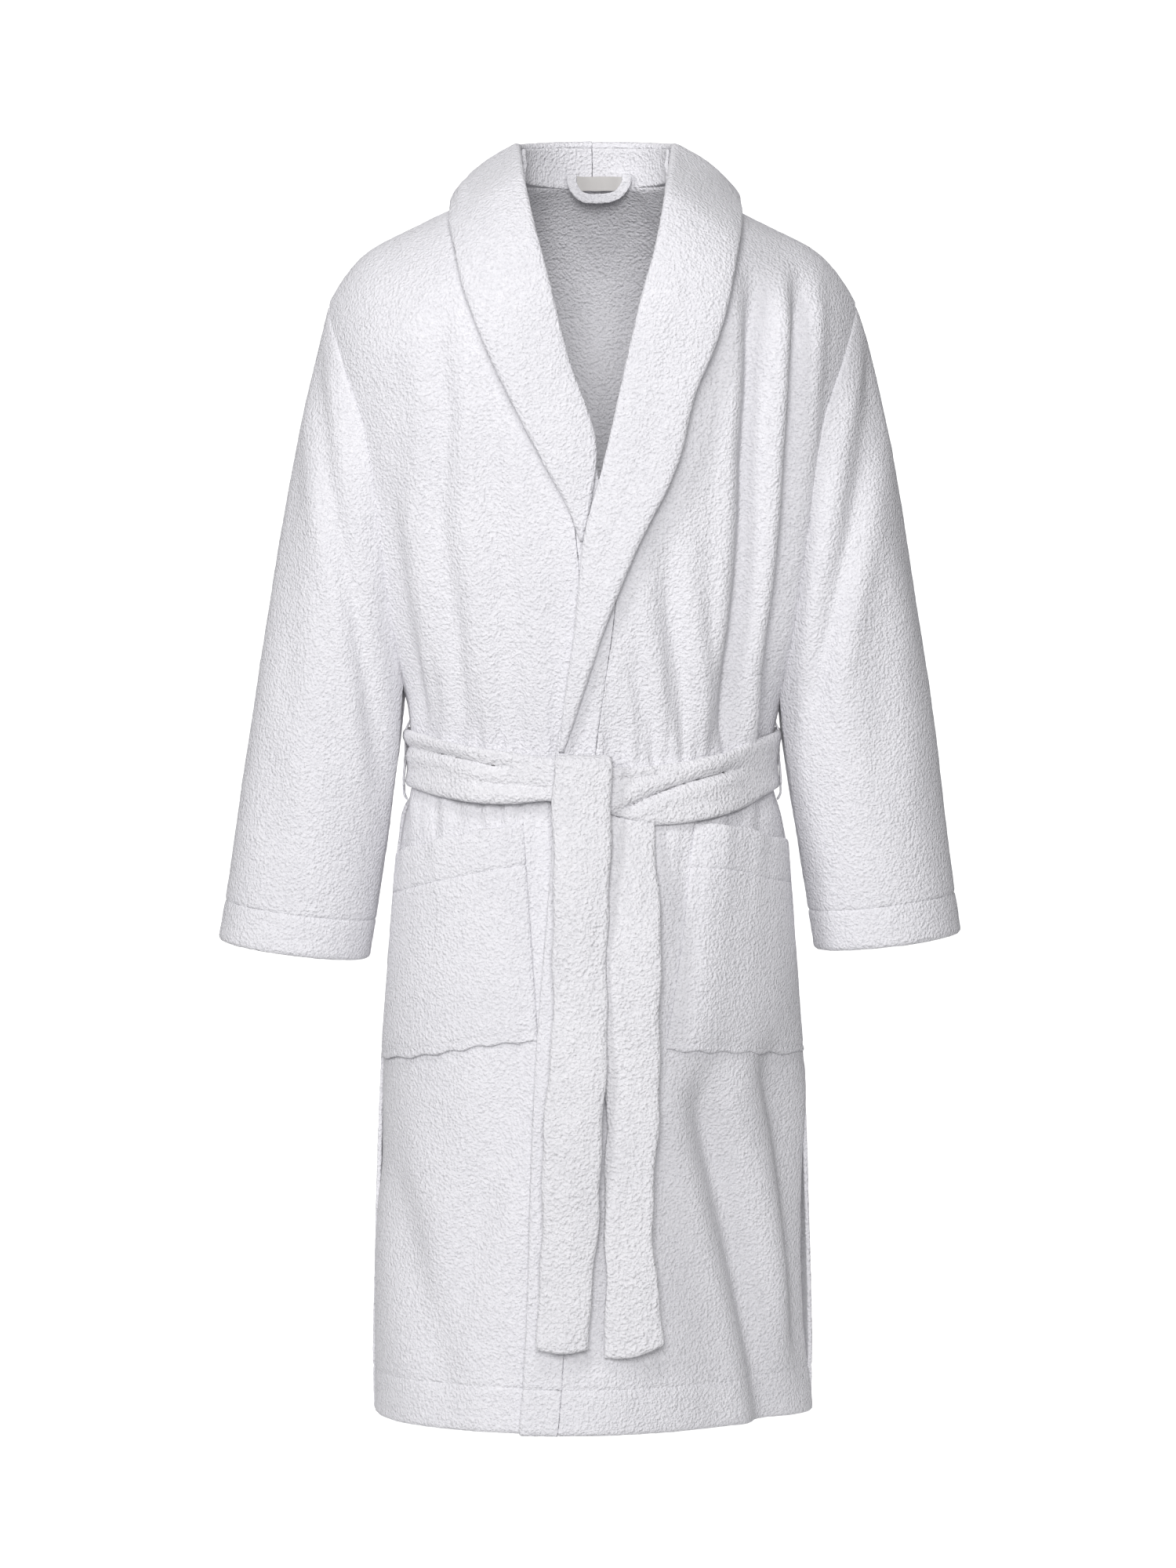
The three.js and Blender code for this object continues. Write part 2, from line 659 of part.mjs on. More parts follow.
function collarStand(side) {
  const rows = [];
  for (let i = 0; i <= collarRows; i += 1) {
    const angle = 0.02 + (Math.PI / 2 - 0.024) * (1 - i / collarRows);
    const inset = facedCloth + 1.5;
    const top = THREE.MathUtils.lerp(rollAtRidge.z, collarTopZ, Math.sin(angle)) - facedCloth;
    const foot = THREE.MathUtils.lerp(ridgeHeight(neckHalfWidth) + cloth + 2, 1.5, Math.sin(angle));
    const ring = (spread, z) => new THREE.Vector3(
      side * (rollAtRidge.x - inset + spread) * Math.cos(angle),
      (neckBackDepth + collarNeckGap - inset + spread) * Math.sin(angle),
      z,
    );
    rows.push([ring(0, top), ring(1, (top + foot) / 2), ring(0, foot)]);
  }
  return solidOf(sheetSolid(rows, cloth));
}

// ---- Belt: a ring round the waist, with the knot and two tails in front ----

const beltLiftFull = 90;       // distance from the centre out to which the belt clears both fronts
const beltLift = (x, isFront) => {
  const side = cloth + layerGap * 2;
  const centre = facedCloth * 2 + layerGap * 4;
  const settled = THREE.MathUtils.smoothstep(Math.abs(x), beltLiftFull, overlapEnd);
  return isFront ? THREE.MathUtils.lerp(centre, side, settled) : side;
};

function beltBand() {
  const steps = edgeSteps(-waistHalfWidth, waistHalfWidth, 16);
  const ends = [-wide, ...steps, wide];
  const footLine = ends.map((x) => [x, beltFoot(x)]);
  const topLine = ends.map((x) => [x, beltTop(x)]).reverse();
  const [levelFoot, levelTop] = [beltFoot(wide), beltTop(wide)];
  const level = [[-wide, levelFoot], [wide, levelFoot], [wide, levelTop], [-wide, levelTop]];
  const outer = bodyForm((x, isFront) => beltLift(x, isFront) + facedCloth);
  const ring = outer.subtract(bodyForm(beltLift));
  const front = prism([...footLine, ...topLine], -deep, 0);
  return ring.intersect(front).add(ring.intersect(prism(level, 0, deep)));
}

const tailCentreX = -8;
const frontTailFootX = -28;
const backTailTopX = 36;
const backTailFootX = 38;
const knotHeight = 44;
const beltFrontY = -(along(depthStations, beltFoot(tailCentreX)) + beltLift(0, true) + facedCloth);
const tailTopZ = beltTop(tailCentreX) + 3;
const knotTopZ = tailTopZ - 8;
const skirtFrontY = -(hemHalfDepth + 2 * facedCloth + layerGap);
const tailGap = 1;
const tailClearance = 1.5;
const tailOffPocket = 4;       // how far the back tail hangs in front of the skirt

// The flap of the tie that is drawn over the belt and holds the front tail.
function beltKnot() {
  const outline = [
    [tailCentreX - 22, knotTopZ], [tailCentreX + 24, knotTopZ],
    [tailCentreX + 27, knotTopZ - knotHeight], [tailCentreX - 24, knotTopZ - knotHeight],
  ];
  return prism(outline, beltFrontY - facedCloth, beltFrontY - tailClearance);
}

// A tail from its top to its foot, leaning out over the first share of its length.
function tail(centreTop, centreFoot, topZ, footZ, topY, footY) {
  const steps = edgeSteps(0, 1, 12);
  const bow = 0.16;
  const grid = steps.map((share) => {
    const z = THREE.MathUtils.lerp(topZ, footZ, share);
    const x = THREE.MathUtils.lerp(centreTop, centreFoot, share ** 1.5);
    const y = THREE.MathUtils.lerp(topY, footY, Math.min(share / bow, 1));
    return [-0.5, 0, 0.5].map((t) => new THREE.Vector3(x + t * beltTailWidth, y, z));
  });
  return solidOf(sheetSolid(grid, facedCloth));
}

const backTailY = skirtFrontY - tailOffPocket - facedCloth / 2;
const frontTailY = backTailY - facedCloth - tailGap;
const backTailTopZ = beltFoot(backTailFootX) - 4;
const backTailTopY = beltFrontY + facedCloth / 2;
const frontTailTopY = beltFrontY - facedCloth * 1.5 - tailGap;

function tailFront() {
  return tail(tailCentreX, frontTailFootX, tailTopZ, -frontTailDrop, frontTailTopY, frontTailY);
}

function tailBack() {
  return tail(backTailTopX, backTailFootX, backTailTopZ, -backTailDrop, backTailTopY, backTailY);
}

// A narrow strap on each side seam that the belt passes through.
function beltLoop(side) {
  const strap = 2;
  const halfAcross = 6;
  const end = 4;
  const top = beltTop(wide) + 6;
  const foot = beltFoot(wide) - 10;
  const widest = Math.max(along(widthStations, beltTop(wide)), along(widthStations, beltFoot(wide)));
  const reach = widest + beltLift(0, false) + facedCloth + seamGap;
  const rootAt = (z) => along(widthStations, z) + cloth + tailClearance;
  const outline = [
    [rootAt(top), top], [reach + strap, top], [reach + strap, foot], [rootAt(foot), foot],
    [rootAt(foot + end), foot + end], [reach, foot + end], [reach, top - end], [rootAt(top - end), top - end],
  ];
  return prism(outline.map(([x, z]) => [side * x, z]), -halfAcross, halfAcross);
}

// ---- Hanging loop and label at the back neck ----

const loopY = neckBackDepth - loopSetBack;

function hangingLoop() {
  const half = loopWidth / 2;
  const flatHalf = half * 0.45;
  const band = new THREE.Shape();
  band.moveTo(loopCentre - half, 0);
  band.quadraticCurveTo(loopCentre - half, -loopDrop, loopCentre - flatHalf, -loopDrop);
  band.lineTo(loopCentre + flatHalf, -loopDrop);
  band.quadraticCurveTo(loopCentre + half, -loopDrop, loopCentre + half, 0);
  band.lineTo(loopCentre + half - loopBand, 0);
  const innerDrop = loopDrop - loopBand;
  band.quadraticCurveTo(loopCentre + half - loopBand, -innerDrop, loopCentre + flatHalf, -innerDrop);
  band.lineTo(loopCentre - flatHalf, -innerDrop);
  band.quadraticCurveTo(loopCentre - half + loopBand, -innerDrop, loopCentre - half + loopBand, 0);
  const geometry = new THREE.ExtrudeGeometry(band, { depth: cloth, bevelEnabled: false, curveSegments: 6 });
  geometry.rotateX(Math.PI / 2);
  geometry.translate(0, loopY + cloth / 2, -1);
  return solidOf(geometry);
}

function neckLabel() {
  const half = labelWidth / 2;
  const outline = [
    [loopCentre - half, -labelDrop - labelHeight], [loopCentre + half, -labelDrop - labelHeight],
    [loopCentre + half, -labelDrop], [loopCentre - half, -labelDrop],
  ];
  const y = loopY + labelSetBack;
  return prism(outline, y, y + labelThickness);
}

// ---- Assembly ----

const group = new THREE.Group();

function place(name, solid, material = terry) {
  const mesh = new THREE.Mesh(geometryOf(solid), material);
  mesh.name = name;
  group.add(mesh);
}

place('back_panel', backPanel());
place('front_panel_right', frontPanelRight());
place('front_panel_left', frontPanelLeft());
place('front_band_right', frontBandRight());
place('front_band_left', frontBandLeft());
place('hem_back', hemBack());
place('hem_front_right', hemFrontRight());
place('hem_front_left', hemFrontLeft());
Object.entries(sides).forEach(([name, side]) => {
  place(`sleeve_${name}`, sleeve(side));
  place(`sleeve_hem_${name}`, sleeveHem(side));
  place(`pocket_${name}`, pocket(name));
  place(`pocket_hem_${name}`, pocketHem(name));
  place(`collar_${name}`, collarHalf(name));
  place(`collar_stand_${name}`, collarStand(side));
  place(`belt_loop_${name}`, beltLoop(side));
});
place('belt_band', beltBand());
place('belt_knot', beltKnot());
place('belt_tail_front', tailFront());
place('belt_tail_back', tailBack());
place('hanging_loop', hangingLoop());
place('neck_label', neckLabel(), labelWeave);

export default group;
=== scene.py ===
import math

import bpy
import numpy as np
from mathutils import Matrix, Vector


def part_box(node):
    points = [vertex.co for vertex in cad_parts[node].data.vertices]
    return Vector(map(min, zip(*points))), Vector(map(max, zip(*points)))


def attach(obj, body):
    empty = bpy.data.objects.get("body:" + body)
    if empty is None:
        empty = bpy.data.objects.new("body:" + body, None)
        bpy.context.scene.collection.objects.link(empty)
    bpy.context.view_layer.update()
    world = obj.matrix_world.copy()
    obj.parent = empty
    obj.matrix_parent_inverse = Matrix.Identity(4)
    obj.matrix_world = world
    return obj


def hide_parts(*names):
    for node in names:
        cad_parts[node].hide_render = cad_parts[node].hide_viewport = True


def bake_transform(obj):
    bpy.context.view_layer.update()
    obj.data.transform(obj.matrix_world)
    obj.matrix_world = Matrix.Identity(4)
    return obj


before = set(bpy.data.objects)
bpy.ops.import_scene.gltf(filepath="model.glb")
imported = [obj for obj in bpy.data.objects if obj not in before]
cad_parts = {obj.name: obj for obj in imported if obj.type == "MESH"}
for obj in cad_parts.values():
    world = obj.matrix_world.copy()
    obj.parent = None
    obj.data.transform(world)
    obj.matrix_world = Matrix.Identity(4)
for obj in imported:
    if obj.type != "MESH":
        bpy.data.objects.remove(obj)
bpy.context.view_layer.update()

# Camera: level with the chest, a few steps in front of the robe.
# It is aimed at the middle of the robe's height.
bpy.ops.object.select_all(action="DESELECT")
eye = Vector((-0.004, -4.3, -0.45))
aim = Vector((-0.004, 0.0, -0.577))
seen_height = 1.48
bpy.ops.object.camera_add(location=eye, rotation=(aim - eye).to_track_quat("-Z", "Y").to_euler())
camera = bpy.context.object
camera.data.sensor_fit = "VERTICAL"
camera.data.sensor_height = 36.0
camera.data.lens = camera.data.sensor_height * (aim - eye).length / seen_height
bpy.context.scene.camera = camera

# Studio: a grey floor that curves up into a wall, both given a painted glow so that they read white,
# dim grey in front of the robe and full white behind it and up the wall. A broad soft light in front,
# one on the left that models the folds, a small one above, and an even grey-white surround.
bpy.context.scene.view_settings.view_transform = "Standard"
world = bpy.data.worlds.new("surround")
bpy.context.scene.world = world
world.use_nodes = True
world.node_tree.nodes["Background"].inputs["Color"].default_value = (0.98, 0.975, 1.0, 1.0)
world.node_tree.nodes["Background"].inputs["Strength"].default_value = 0.19


def softbox(name, place, size, watts):
    bpy.ops.object.light_add(type="AREA", location=place)
    lamp = bpy.context.object
    lamp.name = name
    lamp.rotation_euler = (aim - Vector(place)).to_track_quat("-Z", "Y").to_euler()
    lamp.data.shape = "RECTANGLE"
    lamp.data.size = size[0]
    lamp.data.size_y = size[1]
    lamp.data.energy = watts
    lamp.data.color = (1.0, 0.994, 1.0)
    return lamp


softbox("key_light", (-3.0, -2.8, 1.0), (0.9, 1.4), 49)
softbox("front_fill", (-0.1, -4.4, 0.3), (1.5, 1.3), 113)
softbox("top_light", (-0.1, -1.7, 1.3), (0.7, 0.5), 12)

floor_z = -1.52
wall_y = 1.9
bend = 0.7
reach = 1.1
cove_profile = [(-reach, floor_z)]
for step in range(13):
    turn = step / 12 * math.pi / 2
    cove_profile.append((wall_y - bend + bend * math.sin(turn), floor_z + bend - bend * math.cos(turn)))
cove_profile.append((wall_y, 1.6))
cove_mesh = bpy.data.meshes.new("studio_cove")
cove_mesh.from_pydata(
    [(x, y, z) for y, z in cove_profile for x in (-reach, reach)],
    [],
    [(2 * i, 2 * i + 1, 2 * i + 3, 2 * i + 2) for i in range(len(cove_profile) - 1)],
)
cove = bpy.data.objects.new("studio_cove", cove_mesh)
bpy.context.collection.objects.link(cove)
cove_glow_material = bpy.data.materials.new("studio_white_glow")
cove_glow_material.use_nodes = True
cove_surface = cove_glow_material.node_tree.nodes["Principled BSDF"]
cove_surface.inputs["Base Color"].default_value = (0.35, 0.35, 0.35, 1.0)
cove_surface.inputs["Roughness"].default_value = 1.0
# Painted glow: the cove emits light, so it reads white whatever the lamps do.
cove_surface.inputs["Emission Strength"].default_value = 1.0
cove_mesh.materials.append(cove_glow_material)


# Terry cloth: white cotton with a short looped pile, slightly matted in patches.
# The pile is a fine bump over soft clumps, and its tips catch a little sheen. Its colour is darker
# where the pile is lower, a painted shade in its hollows, and varies at random in the matted patches.
class Wire:
    """A shader socket that arithmetic can be written on."""

    def __init__(self, tree, socket):
        self.tree = tree
        self.socket = socket

    def node(self, kind, settings=None, output=0, **inputs):
        made = self.tree.nodes.new(kind)
        for key, value in (settings or {}).items():
            if key == "stops":
                made.color_ramp.elements[0].position = value[0][0]
                made.color_ramp.elements[0].color = value[0][1]
                made.color_ramp.elements[1].position = value[1][0]
                made.color_ramp.elements[1].color = value[1][1]
            else:
                setattr(made, key, value)
        for key, value in inputs.items():
            numbered = key[0] == "i" and key[1:].isdigit()
            slot = made.inputs[int(key[1:]) if numbered else key]
            if isinstance(value, Wire):
                self.tree.links.new(value.socket, slot)
            else:
                slot.default_value = value
        return Wire(self.tree, made.outputs[output])

    def math(self, operation, left, right):
        return self.node("ShaderNodeMath", {"operation": operation}, i0=left, i1=right)

    def __add__(self, other):
        return self.math("ADD", self, other)

    __radd__ = __add__

    def __mul__(self, other):
        return self.math("MULTIPLY", self, other)

    __rmul__ = __mul__

    def __sub__(self, other):
        return self.math("SUBTRACT", self, other)

    def __rsub__(self, other):
        return self.math("SUBTRACT", other, self)


# Painted glow: the emission colour runs by depth, from grey in front of the robe to white behind it and
# up the wall.
floor_wire = Wire(cove_glow_material.node_tree, None)
floor_place = floor_wire.node("ShaderNodeTexCoord", output=3)
floor_depth = floor_wire.node("ShaderNodeSeparateXYZ", output=1, Vector=floor_place)
floor_glow_fade = floor_wire.node(
    "ShaderNodeValToRGB",
    {"stops": [(0.42, (0.30, 0.30, 0.30, 1.0)), (0.66, (1.0, 1.0, 1.0, 1.0))]},
    Fac=floor_depth * 0.5 + 0.5,
)
cove_glow_material.node_tree.links.new(floor_glow_fade.socket, cove_surface.inputs["Emission Color"])


def cloth_material(name, pale, shade, pile_scale, pile_depth):
    material = bpy.data.materials.new(name)
    material.use_nodes = True
    tree = material.node_tree
    surface = tree.nodes["Principled BSDF"]
    surface.inputs["Roughness"].default_value = 0.96
    surface.inputs["Specular IOR Level"].default_value = 0.12
    surface.inputs["Sheen Weight"].default_value = 0.28
    surface.inputs["Sheen Roughness"].default_value = 0.45
    surface.inputs["Sheen Tint"].default_value = (1.0, 1.0, 1.0, 1.0)
    wire = Wire(tree, None)
    place = wire.node("ShaderNodeTexCoord", output=3)
    loops = wire.node("ShaderNodeTexVoronoi", {"feature": "SMOOTH_F1"}, Vector=place, Scale=pile_scale)
    tufts = wire.node(
        "ShaderNodeTexNoise", Vector=place, Scale=pile_scale * 0.85, Detail=2.0, Roughness=0.6)
    clumps = wire.node("ShaderNodeTexNoise", Vector=place, Scale=110.0, Detail=2.0, Roughness=0.5)
    patches = wire.node("ShaderNodeTexNoise", Vector=place, Scale=14.0, Detail=2.0)
    height = tufts * 1.1 - loops * 0.8 + clumps * 0.16
    bumped = wire.node("ShaderNodeBump", Strength=0.75, Distance=pile_depth, Height=height)
    tree.links.new(bumped.socket, surface.inputs["Normal"])
    # Base colour: painted shade in the pile's hollows (darker where the bump's height is lower), plus a
    # random paler and darker tone in matted patches.
    matting_and_pile_shade = tufts * 0.75 + clumps * 0.12 + patches * 0.25 - loops * 0.16
    colour = wire.node(
        "ShaderNodeValToRGB",
        {"stops": [(0.3, (*shade, 1.0)), (0.62, (*pale, 1.0))]},
        Fac=matting_and_pile_shade,
    )
    tree.links.new(colour.socket, surface.inputs["Base Color"])
    return material


# The darker colour is reached in the pile's hollows (painted shade) and in darker matted patches.
terry = cloth_material("white_terry", (0.86, 0.855, 0.885), (0.755, 0.752, 0.785), 430.0, 0.0027)
belt_terry = cloth_material("belt_terry", (0.865, 0.86, 0.885), (0.75, 0.747, 0.775), 390.0, 0.0033)


# The robe's form: what every panel is cut and draped to. Its widths and depths are set at the
# shoulder, chest, waist, hip and hem, and each level is a squared ellipse that closes over
# the shoulder ridge. Heights count down from the back neck seam.
def through(stations, at):
    stations = sorted(stations)
    places = np.array([s[0] for s in stations])
    values = np.array([s[1] for s in stations])
    slopes = np.diff(values) / np.diff(places)
    tangents = np.concatenate([[slopes[0]], (slopes[:-1] + slopes[1:]) / 2, [slopes[-1]]])
    flat = np.concatenate([[False], slopes[:-1] * slopes[1:] <= 0, [False]])
    tangents = np.where(flat, 0.0, tangents)
    at = np.clip(np.asarray(at, dtype=float), places[0], places[-1])
    i = np.clip(np.searchsorted(places, at) - 1, 0, len(places) - 2)
    span = places[i + 1] - places[i]
    t = (at - places[i]) / span
    begin = values[i] * (1 + 2 * t) * (1 - t) ** 2 + tangents[i] * span * t * (1 - t) ** 2
    end = values[i + 1] * (3 - 2 * t) * t ** 2 - tangents[i + 1] * span * (1 - t) * t ** 2
    return begin + end


def ease(low, high, value):
    t = np.clip((value - low) / (high - low), 0.0, 1.0)
    return t * t * (3 - 2 * t)


hem_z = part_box("back_panel")[0][2]
flat_z = -0.33
cap_start = 0.190
cap_width = 0.062
shoulder_z = -0.140
power = 2.4
body_width = [(shoulder_z, 0.249), (-0.187, 0.246), (-0.229, 0.240), (-0.266, 0.231),
              (-0.300, 0.222), (-0.377, 0.205), (-0.437, 0.190), (-0.472, 0.1785), (-0.496, 0.1715),
              (-0.520, 0.1675), (-0.560, 0.1625), (-0.585, 0.167), (-0.607, 0.1735),
              (-0.651, 0.179), (-0.718, 0.1845), (-0.800, 0.1905), (-0.873, 0.1945),
              (-1.000, 0.1985), (-1.100, 0.201), (hem_z, 0.2015)]
body_depth = [(shoulder_z, 0.118), (-0.300, 0.130), (-0.460, 0.124), (-0.560, 0.112),
              (-0.620, 0.119), (-0.760, 0.130), (-0.900, 0.135), (hem_z, 0.138)]
armhole_line = [(shoulder_z, 0.243), (-0.190, 0.229), (-0.232, 0.2145), (-0.268, 0.206),
                (-0.329, 0.1985), (-0.377, 0.193), (-0.437, 0.1845), (-0.472, 0.178)]
underarm_z = armhole_line[-1][0]


def ridge(x):
    out = np.abs(x)
    cap = np.clip((out - cap_start) / cap_width, 0.0, None)
    return 0.008 - 0.5 * (np.hypot(out, 0.04) - 0.04) - 0.045 * cap ** 2.5


def level_of(h):
    """Height where row h meets the robe's side: 0 is the ridge, 1 the first level row, 2 the hem."""
    h = np.asarray(h, dtype=float)
    return np.where(h < 1, (1 - h) * shoulder_z + h * flat_z, flat_z + (h - 1) * (hem_z - flat_z))


def height_at(x, h, off=0.0):
    return np.where(h < 1, (1 - h) * (ridge(x) + off) + h * flat_z, flat_z + (h - 1) * (hem_z - flat_z))


def row_at(x, z, off=0.0):
    top = ridge(x) + off
    above = np.clip((top - z) / (top - flat_z), 0, 1)
    return np.where(z > flat_z, above, 1 + (flat_z - z) / (flat_z - hem_z))


def depth_at(x, h, off=0.0):
    level = level_of(h)
    rounded = np.sqrt(1 - (1 - np.clip(h / 0.45, 0, 1)) ** 2)
    share = np.clip(np.abs(x) / (through(body_width, level) + off), 0, 1)
    return (through(body_depth, level) + off) * rounded * (1 - share ** power) ** (1 / power)


def on_body(x, h, side, off=0.0):
    """Points on the form grown by off: side is -1 in front and 1 behind."""
    x, h, off = np.broadcast_arrays(x, h, off)
    out = through(body_width, level_of(h))
    spread = x * (1 + off / out)
    depth = depth_at(spread, h, off)
    if side < 0:
        depth = depth * softened(spread, h, off)
    return np.stack([spread, side * depth, height_at(x, h, off)], axis=-1)


def softened(x, h, off):
    """The skirt falls away to its sides more roundly than the form, most on the wearer's left."""
    level = level_of(h)
    below = ease(-0.600, -0.780, level)
    foot = ease(-0.740, -0.920, level)
    rounder = power - np.where(x > 0, 0.20 * below + 0.75 * foot, 0.15 * below + 0.15 * foot)
    share = np.clip(np.abs(x) / (through(body_width, level) + off), 0, 0.9999)
    return (1 - share ** rounder) ** (1 / rounder) / (1 - share ** power) ** (1 / power)


def across(left, right, h, s):
    """Spaces columns evenly round the section between two x limits."""
    out = through(body_width, level_of(h))

    def turn(x):
        return np.arcsin(np.clip(np.sign(x) * (np.abs(x) / out) ** (power / 2), -1, 1))

    angle = turn(left) + (turn(right) - turn(left)) * s
    return out * np.sign(np.sin(angle)) * np.abs(np.sin(angle)) ** (2 / power)


def side_limit(h):
    """x of the side seam, or of the armhole seam above the underarm."""
    level = level_of(h)
    x = through(armhole_line, level)
    for _ in range(8):
        x = through(armhole_line, height_at(x, h))
    return np.where(height_at(x, h) > underarm_z, x, through(body_width, level))


# Folds: soft valleys with a low ridge on each side, as cloth hangs from shoulder and belt.
# Each follows a few points from top to bottom and fades out at both ends.
def fold(x, z, points, width, depth, fade=0.06):
    line = through([(point[1], point[0]) for point in points], z)
    high = max(point[1] for point in points)
    low = min(point[1] for point in points)
    inside = ease(low - fade, low + fade * 0.4, z) * (1 - ease(high - fade * 0.4, high + fade, z))
    d = (x - line) / width
    valley = -np.exp(-d * d)
    ridges = 0.42 * (np.exp(-((d - 1.75) ** 2)) + np.exp(-((d + 1.75) ** 2)))
    return depth * (valley + ridges) * inside


def ripple(x, z, seed):
    """Slow uneven swell, so that no stretch of cloth is perfectly even."""
    total = 0.0
    for n in range(1, 6):
        wave = 9.0 + 6.5 * n
        drift = 2.4 * math.sin(seed * 1.7 + n * 2.1)
        total = total + np.sin(wave * x + drift * z * 3 + seed * 3.1 + n * 1.3) * np.cos(
            (3.0 + 1.9 * n) * z + seed * 2.3 + n * 0.7) / (n + 1.5)
    return total


def gathers(x, z, seed):
    """Small pleats that the belt pulls in, dying away above and below it."""
    near = np.exp(-np.abs(z + 0.565) / 0.050) * ease(0.012, 0.04, np.abs(z + 0.575) + 0.02)
    phase = 5.5 * np.sin(13.0 * x + seed) + 3.0 * np.sin(29.0 * x + 2.0 * seed)
    return near * (np.sin(225.0 * x + phase) + 0.5 * np.sin(410.0 * x - phase)) * 0.003


front_folds = [
    ([(-0.139, -0.182), (-0.134, -0.238), (-0.139, -0.329), (-0.130, -0.402), (-0.121, -0.481),
      (-0.116, -0.520)],
     0.012, 0.0042, 0.07),
    ([(-0.093, -0.275), (-0.085, -0.343), (-0.076, -0.421), (-0.072, -0.500)], 0.013, 0.0032, 0.07),
    ([(-0.163, -0.455), (-0.149, -0.528)], 0.007, 0.004, 0.04),
    ([(-0.147, -0.462), (-0.135, -0.530)], 0.007, 0.0036, 0.04),
    ([(-0.183, -0.330), (-0.172, -0.420), (-0.160, -0.500)], 0.010, 0.0035, 0.06),
    ([(0.147, -0.144), (0.147, -0.187), (0.142, -0.271), (0.140, -0.342), (0.133, -0.414),
      (0.123, -0.474), (0.116, -0.535)], 0.011, 0.0128, 0.06),
    ([(0.189, -0.143), (0.186, -0.185), (0.181, -0.269), (0.176, -0.329), (0.170, -0.390),
      (0.162, -0.450), (0.156, -0.530)], 0.009, 0.0108, 0.06),
    ([(0.067, -0.389), (0.075, -0.467), (0.084, -0.540)], 0.012, 0.0064, 0.07),
    ([(0.040, -0.470), (0.050, -0.535)], 0.009, 0.0032, 0.05),
    ([(0.105, -0.430), (0.101, -0.535)], 0.008, 0.0034, 0.05),
    ([(-0.076, -0.849), (-0.088, -0.913), (-0.106, -0.987), (-0.124, -1.060)], 0.018, 0.0042, 0.10),
    ([(-0.187, -0.930), (-0.162, -1.024), (-0.139, -1.120)], 0.018, 0.005, 0.09),
    ([(0.100, -0.870), (0.105, -0.896), (0.123, -0.970), (0.142, -1.046), (0.157, -1.117),
      (0.166, -1.175)],
     0.017, 0.016, 0.07),
    ([(0.166, -0.845), (0.181, -0.922), (0.189, -1.019), (0.192, -1.120)], 0.015, 0.012, 0.08),
    ([(0.085, -0.625), (0.078, -0.720), (0.070, -0.830)], 0.014, 0.003, 0.06),
    ([(-0.040, -0.620), (-0.050, -0.760), (-0.056, -0.900)], 0.020, 0.0022, 0.08),
]
back_folds = [
    ([(0.002, -0.070), (0.004, -0.230), (0.006, -0.330)], 0.030, 0.0045, 0.10),
    ([(-0.150, -0.180), (-0.142, -0.330), (-0.118, -0.525)], 0.016, 0.007, 0.08),
    ([(0.158, -0.170), (0.146, -0.330), (0.122, -0.525)], 0.016, 0.007, 0.08),
    ([(-0.078, -0.330), (-0.066, -0.530)], 0.014, 0.0042, 0.08),
    ([(0.072, -0.300), (0.060, -0.530)], 0.014, 0.0045, 0.08),
    ([(-0.050, -0.620), (-0.066, -0.800), (-0.080, -1.100)], 0.026, 0.0075, 0.10),
    ([(0.046, -0.620), (0.064, -0.850), (0.072, -1.150)], 0.026, 0.0075, 0.10),
    ([(-0.140, -0.640), (-0.152, -0.900), (-0.160, -1.150)], 0.022, 0.008, 0.10),
    ([(0.136, -0.640), (0.150, -0.900), (0.158, -1.150)], 0.022, 0.008, 0.10),
]


def hang(x, z, gather_seed, swell, swell_seed, folds):
    total = gathers(x, z, gather_seed) + swell * ripple(x, z, swell_seed)
    for settings in folds:
        total = total + fold(x, z, *settings)
    return total


def front_hang(x, z):
    return hang(x, z, 1.0, 0.0009, 1.0, front_folds)


def back_hang(x, z):
    return hang(x, z, 2.6, 0.0022, 2.0, back_folds)


front_lap = 0.0072


def lap(x):
    """The left front lies over the right one near the middle and rejoins the body at its side."""
    return front_lap * (1 - ease(0.070, 0.150, x))


# Cloth as a solid: a grid of points gets a thickness that rounds off at every free edge,
# then a fine pile is raised on it.
pile_noise = bpy.data.textures.new("terry_pile", "CLOUDS")
pile_noise.noise_scale = 0.0055
pile_noise.noise_depth = 1
tuft_noise = bpy.data.textures.new("terry_tufts", "CLOUDS")
tuft_noise.noise_scale = 0.024
tuft_noise.noise_depth = 1


def edged(count, length, rounding):
    """Evenly spaced shares of a length, with extra ones close to each rounded edge."""
    near = np.array([0.0, 0.1, 0.3, 0.6, 1.2]) * rounding / length
    middle = np.linspace(near[-1], 1 - near[-1], count)
    return np.concatenate([near[:-1], middle, (1 - near[:-1])[::-1]])


def edge_rounding(shares, length, rounding, far_rounding=None):
    first = np.clip(shares * length / rounding, 0, 1)
    last = np.clip((1 - shares) * length / (far_rounding or rounding), 0, 1)
    return np.sqrt(np.clip(1 - (1 - np.minimum(first, last)) ** 2, 0, 1))


def closed_ends(count, *first):
    """Full thickness along a piece, except at its first few rows and its last one."""
    shares = np.ones(count)
    shares[:len(first)] = first
    shares[-1] = 0.0
    return shares


def grid_normals(points, closed=False):
    if closed:
        around = np.roll(points, -1, axis=1) - np.roll(points, 1, axis=1)
    else:
        around = np.gradient(points, axis=1)
    normals = np.cross(np.gradient(points, axis=0), around)
    length = np.linalg.norm(normals, axis=-1, keepdims=True)
    return normals / np.where(length < 1e-12, 1, length)


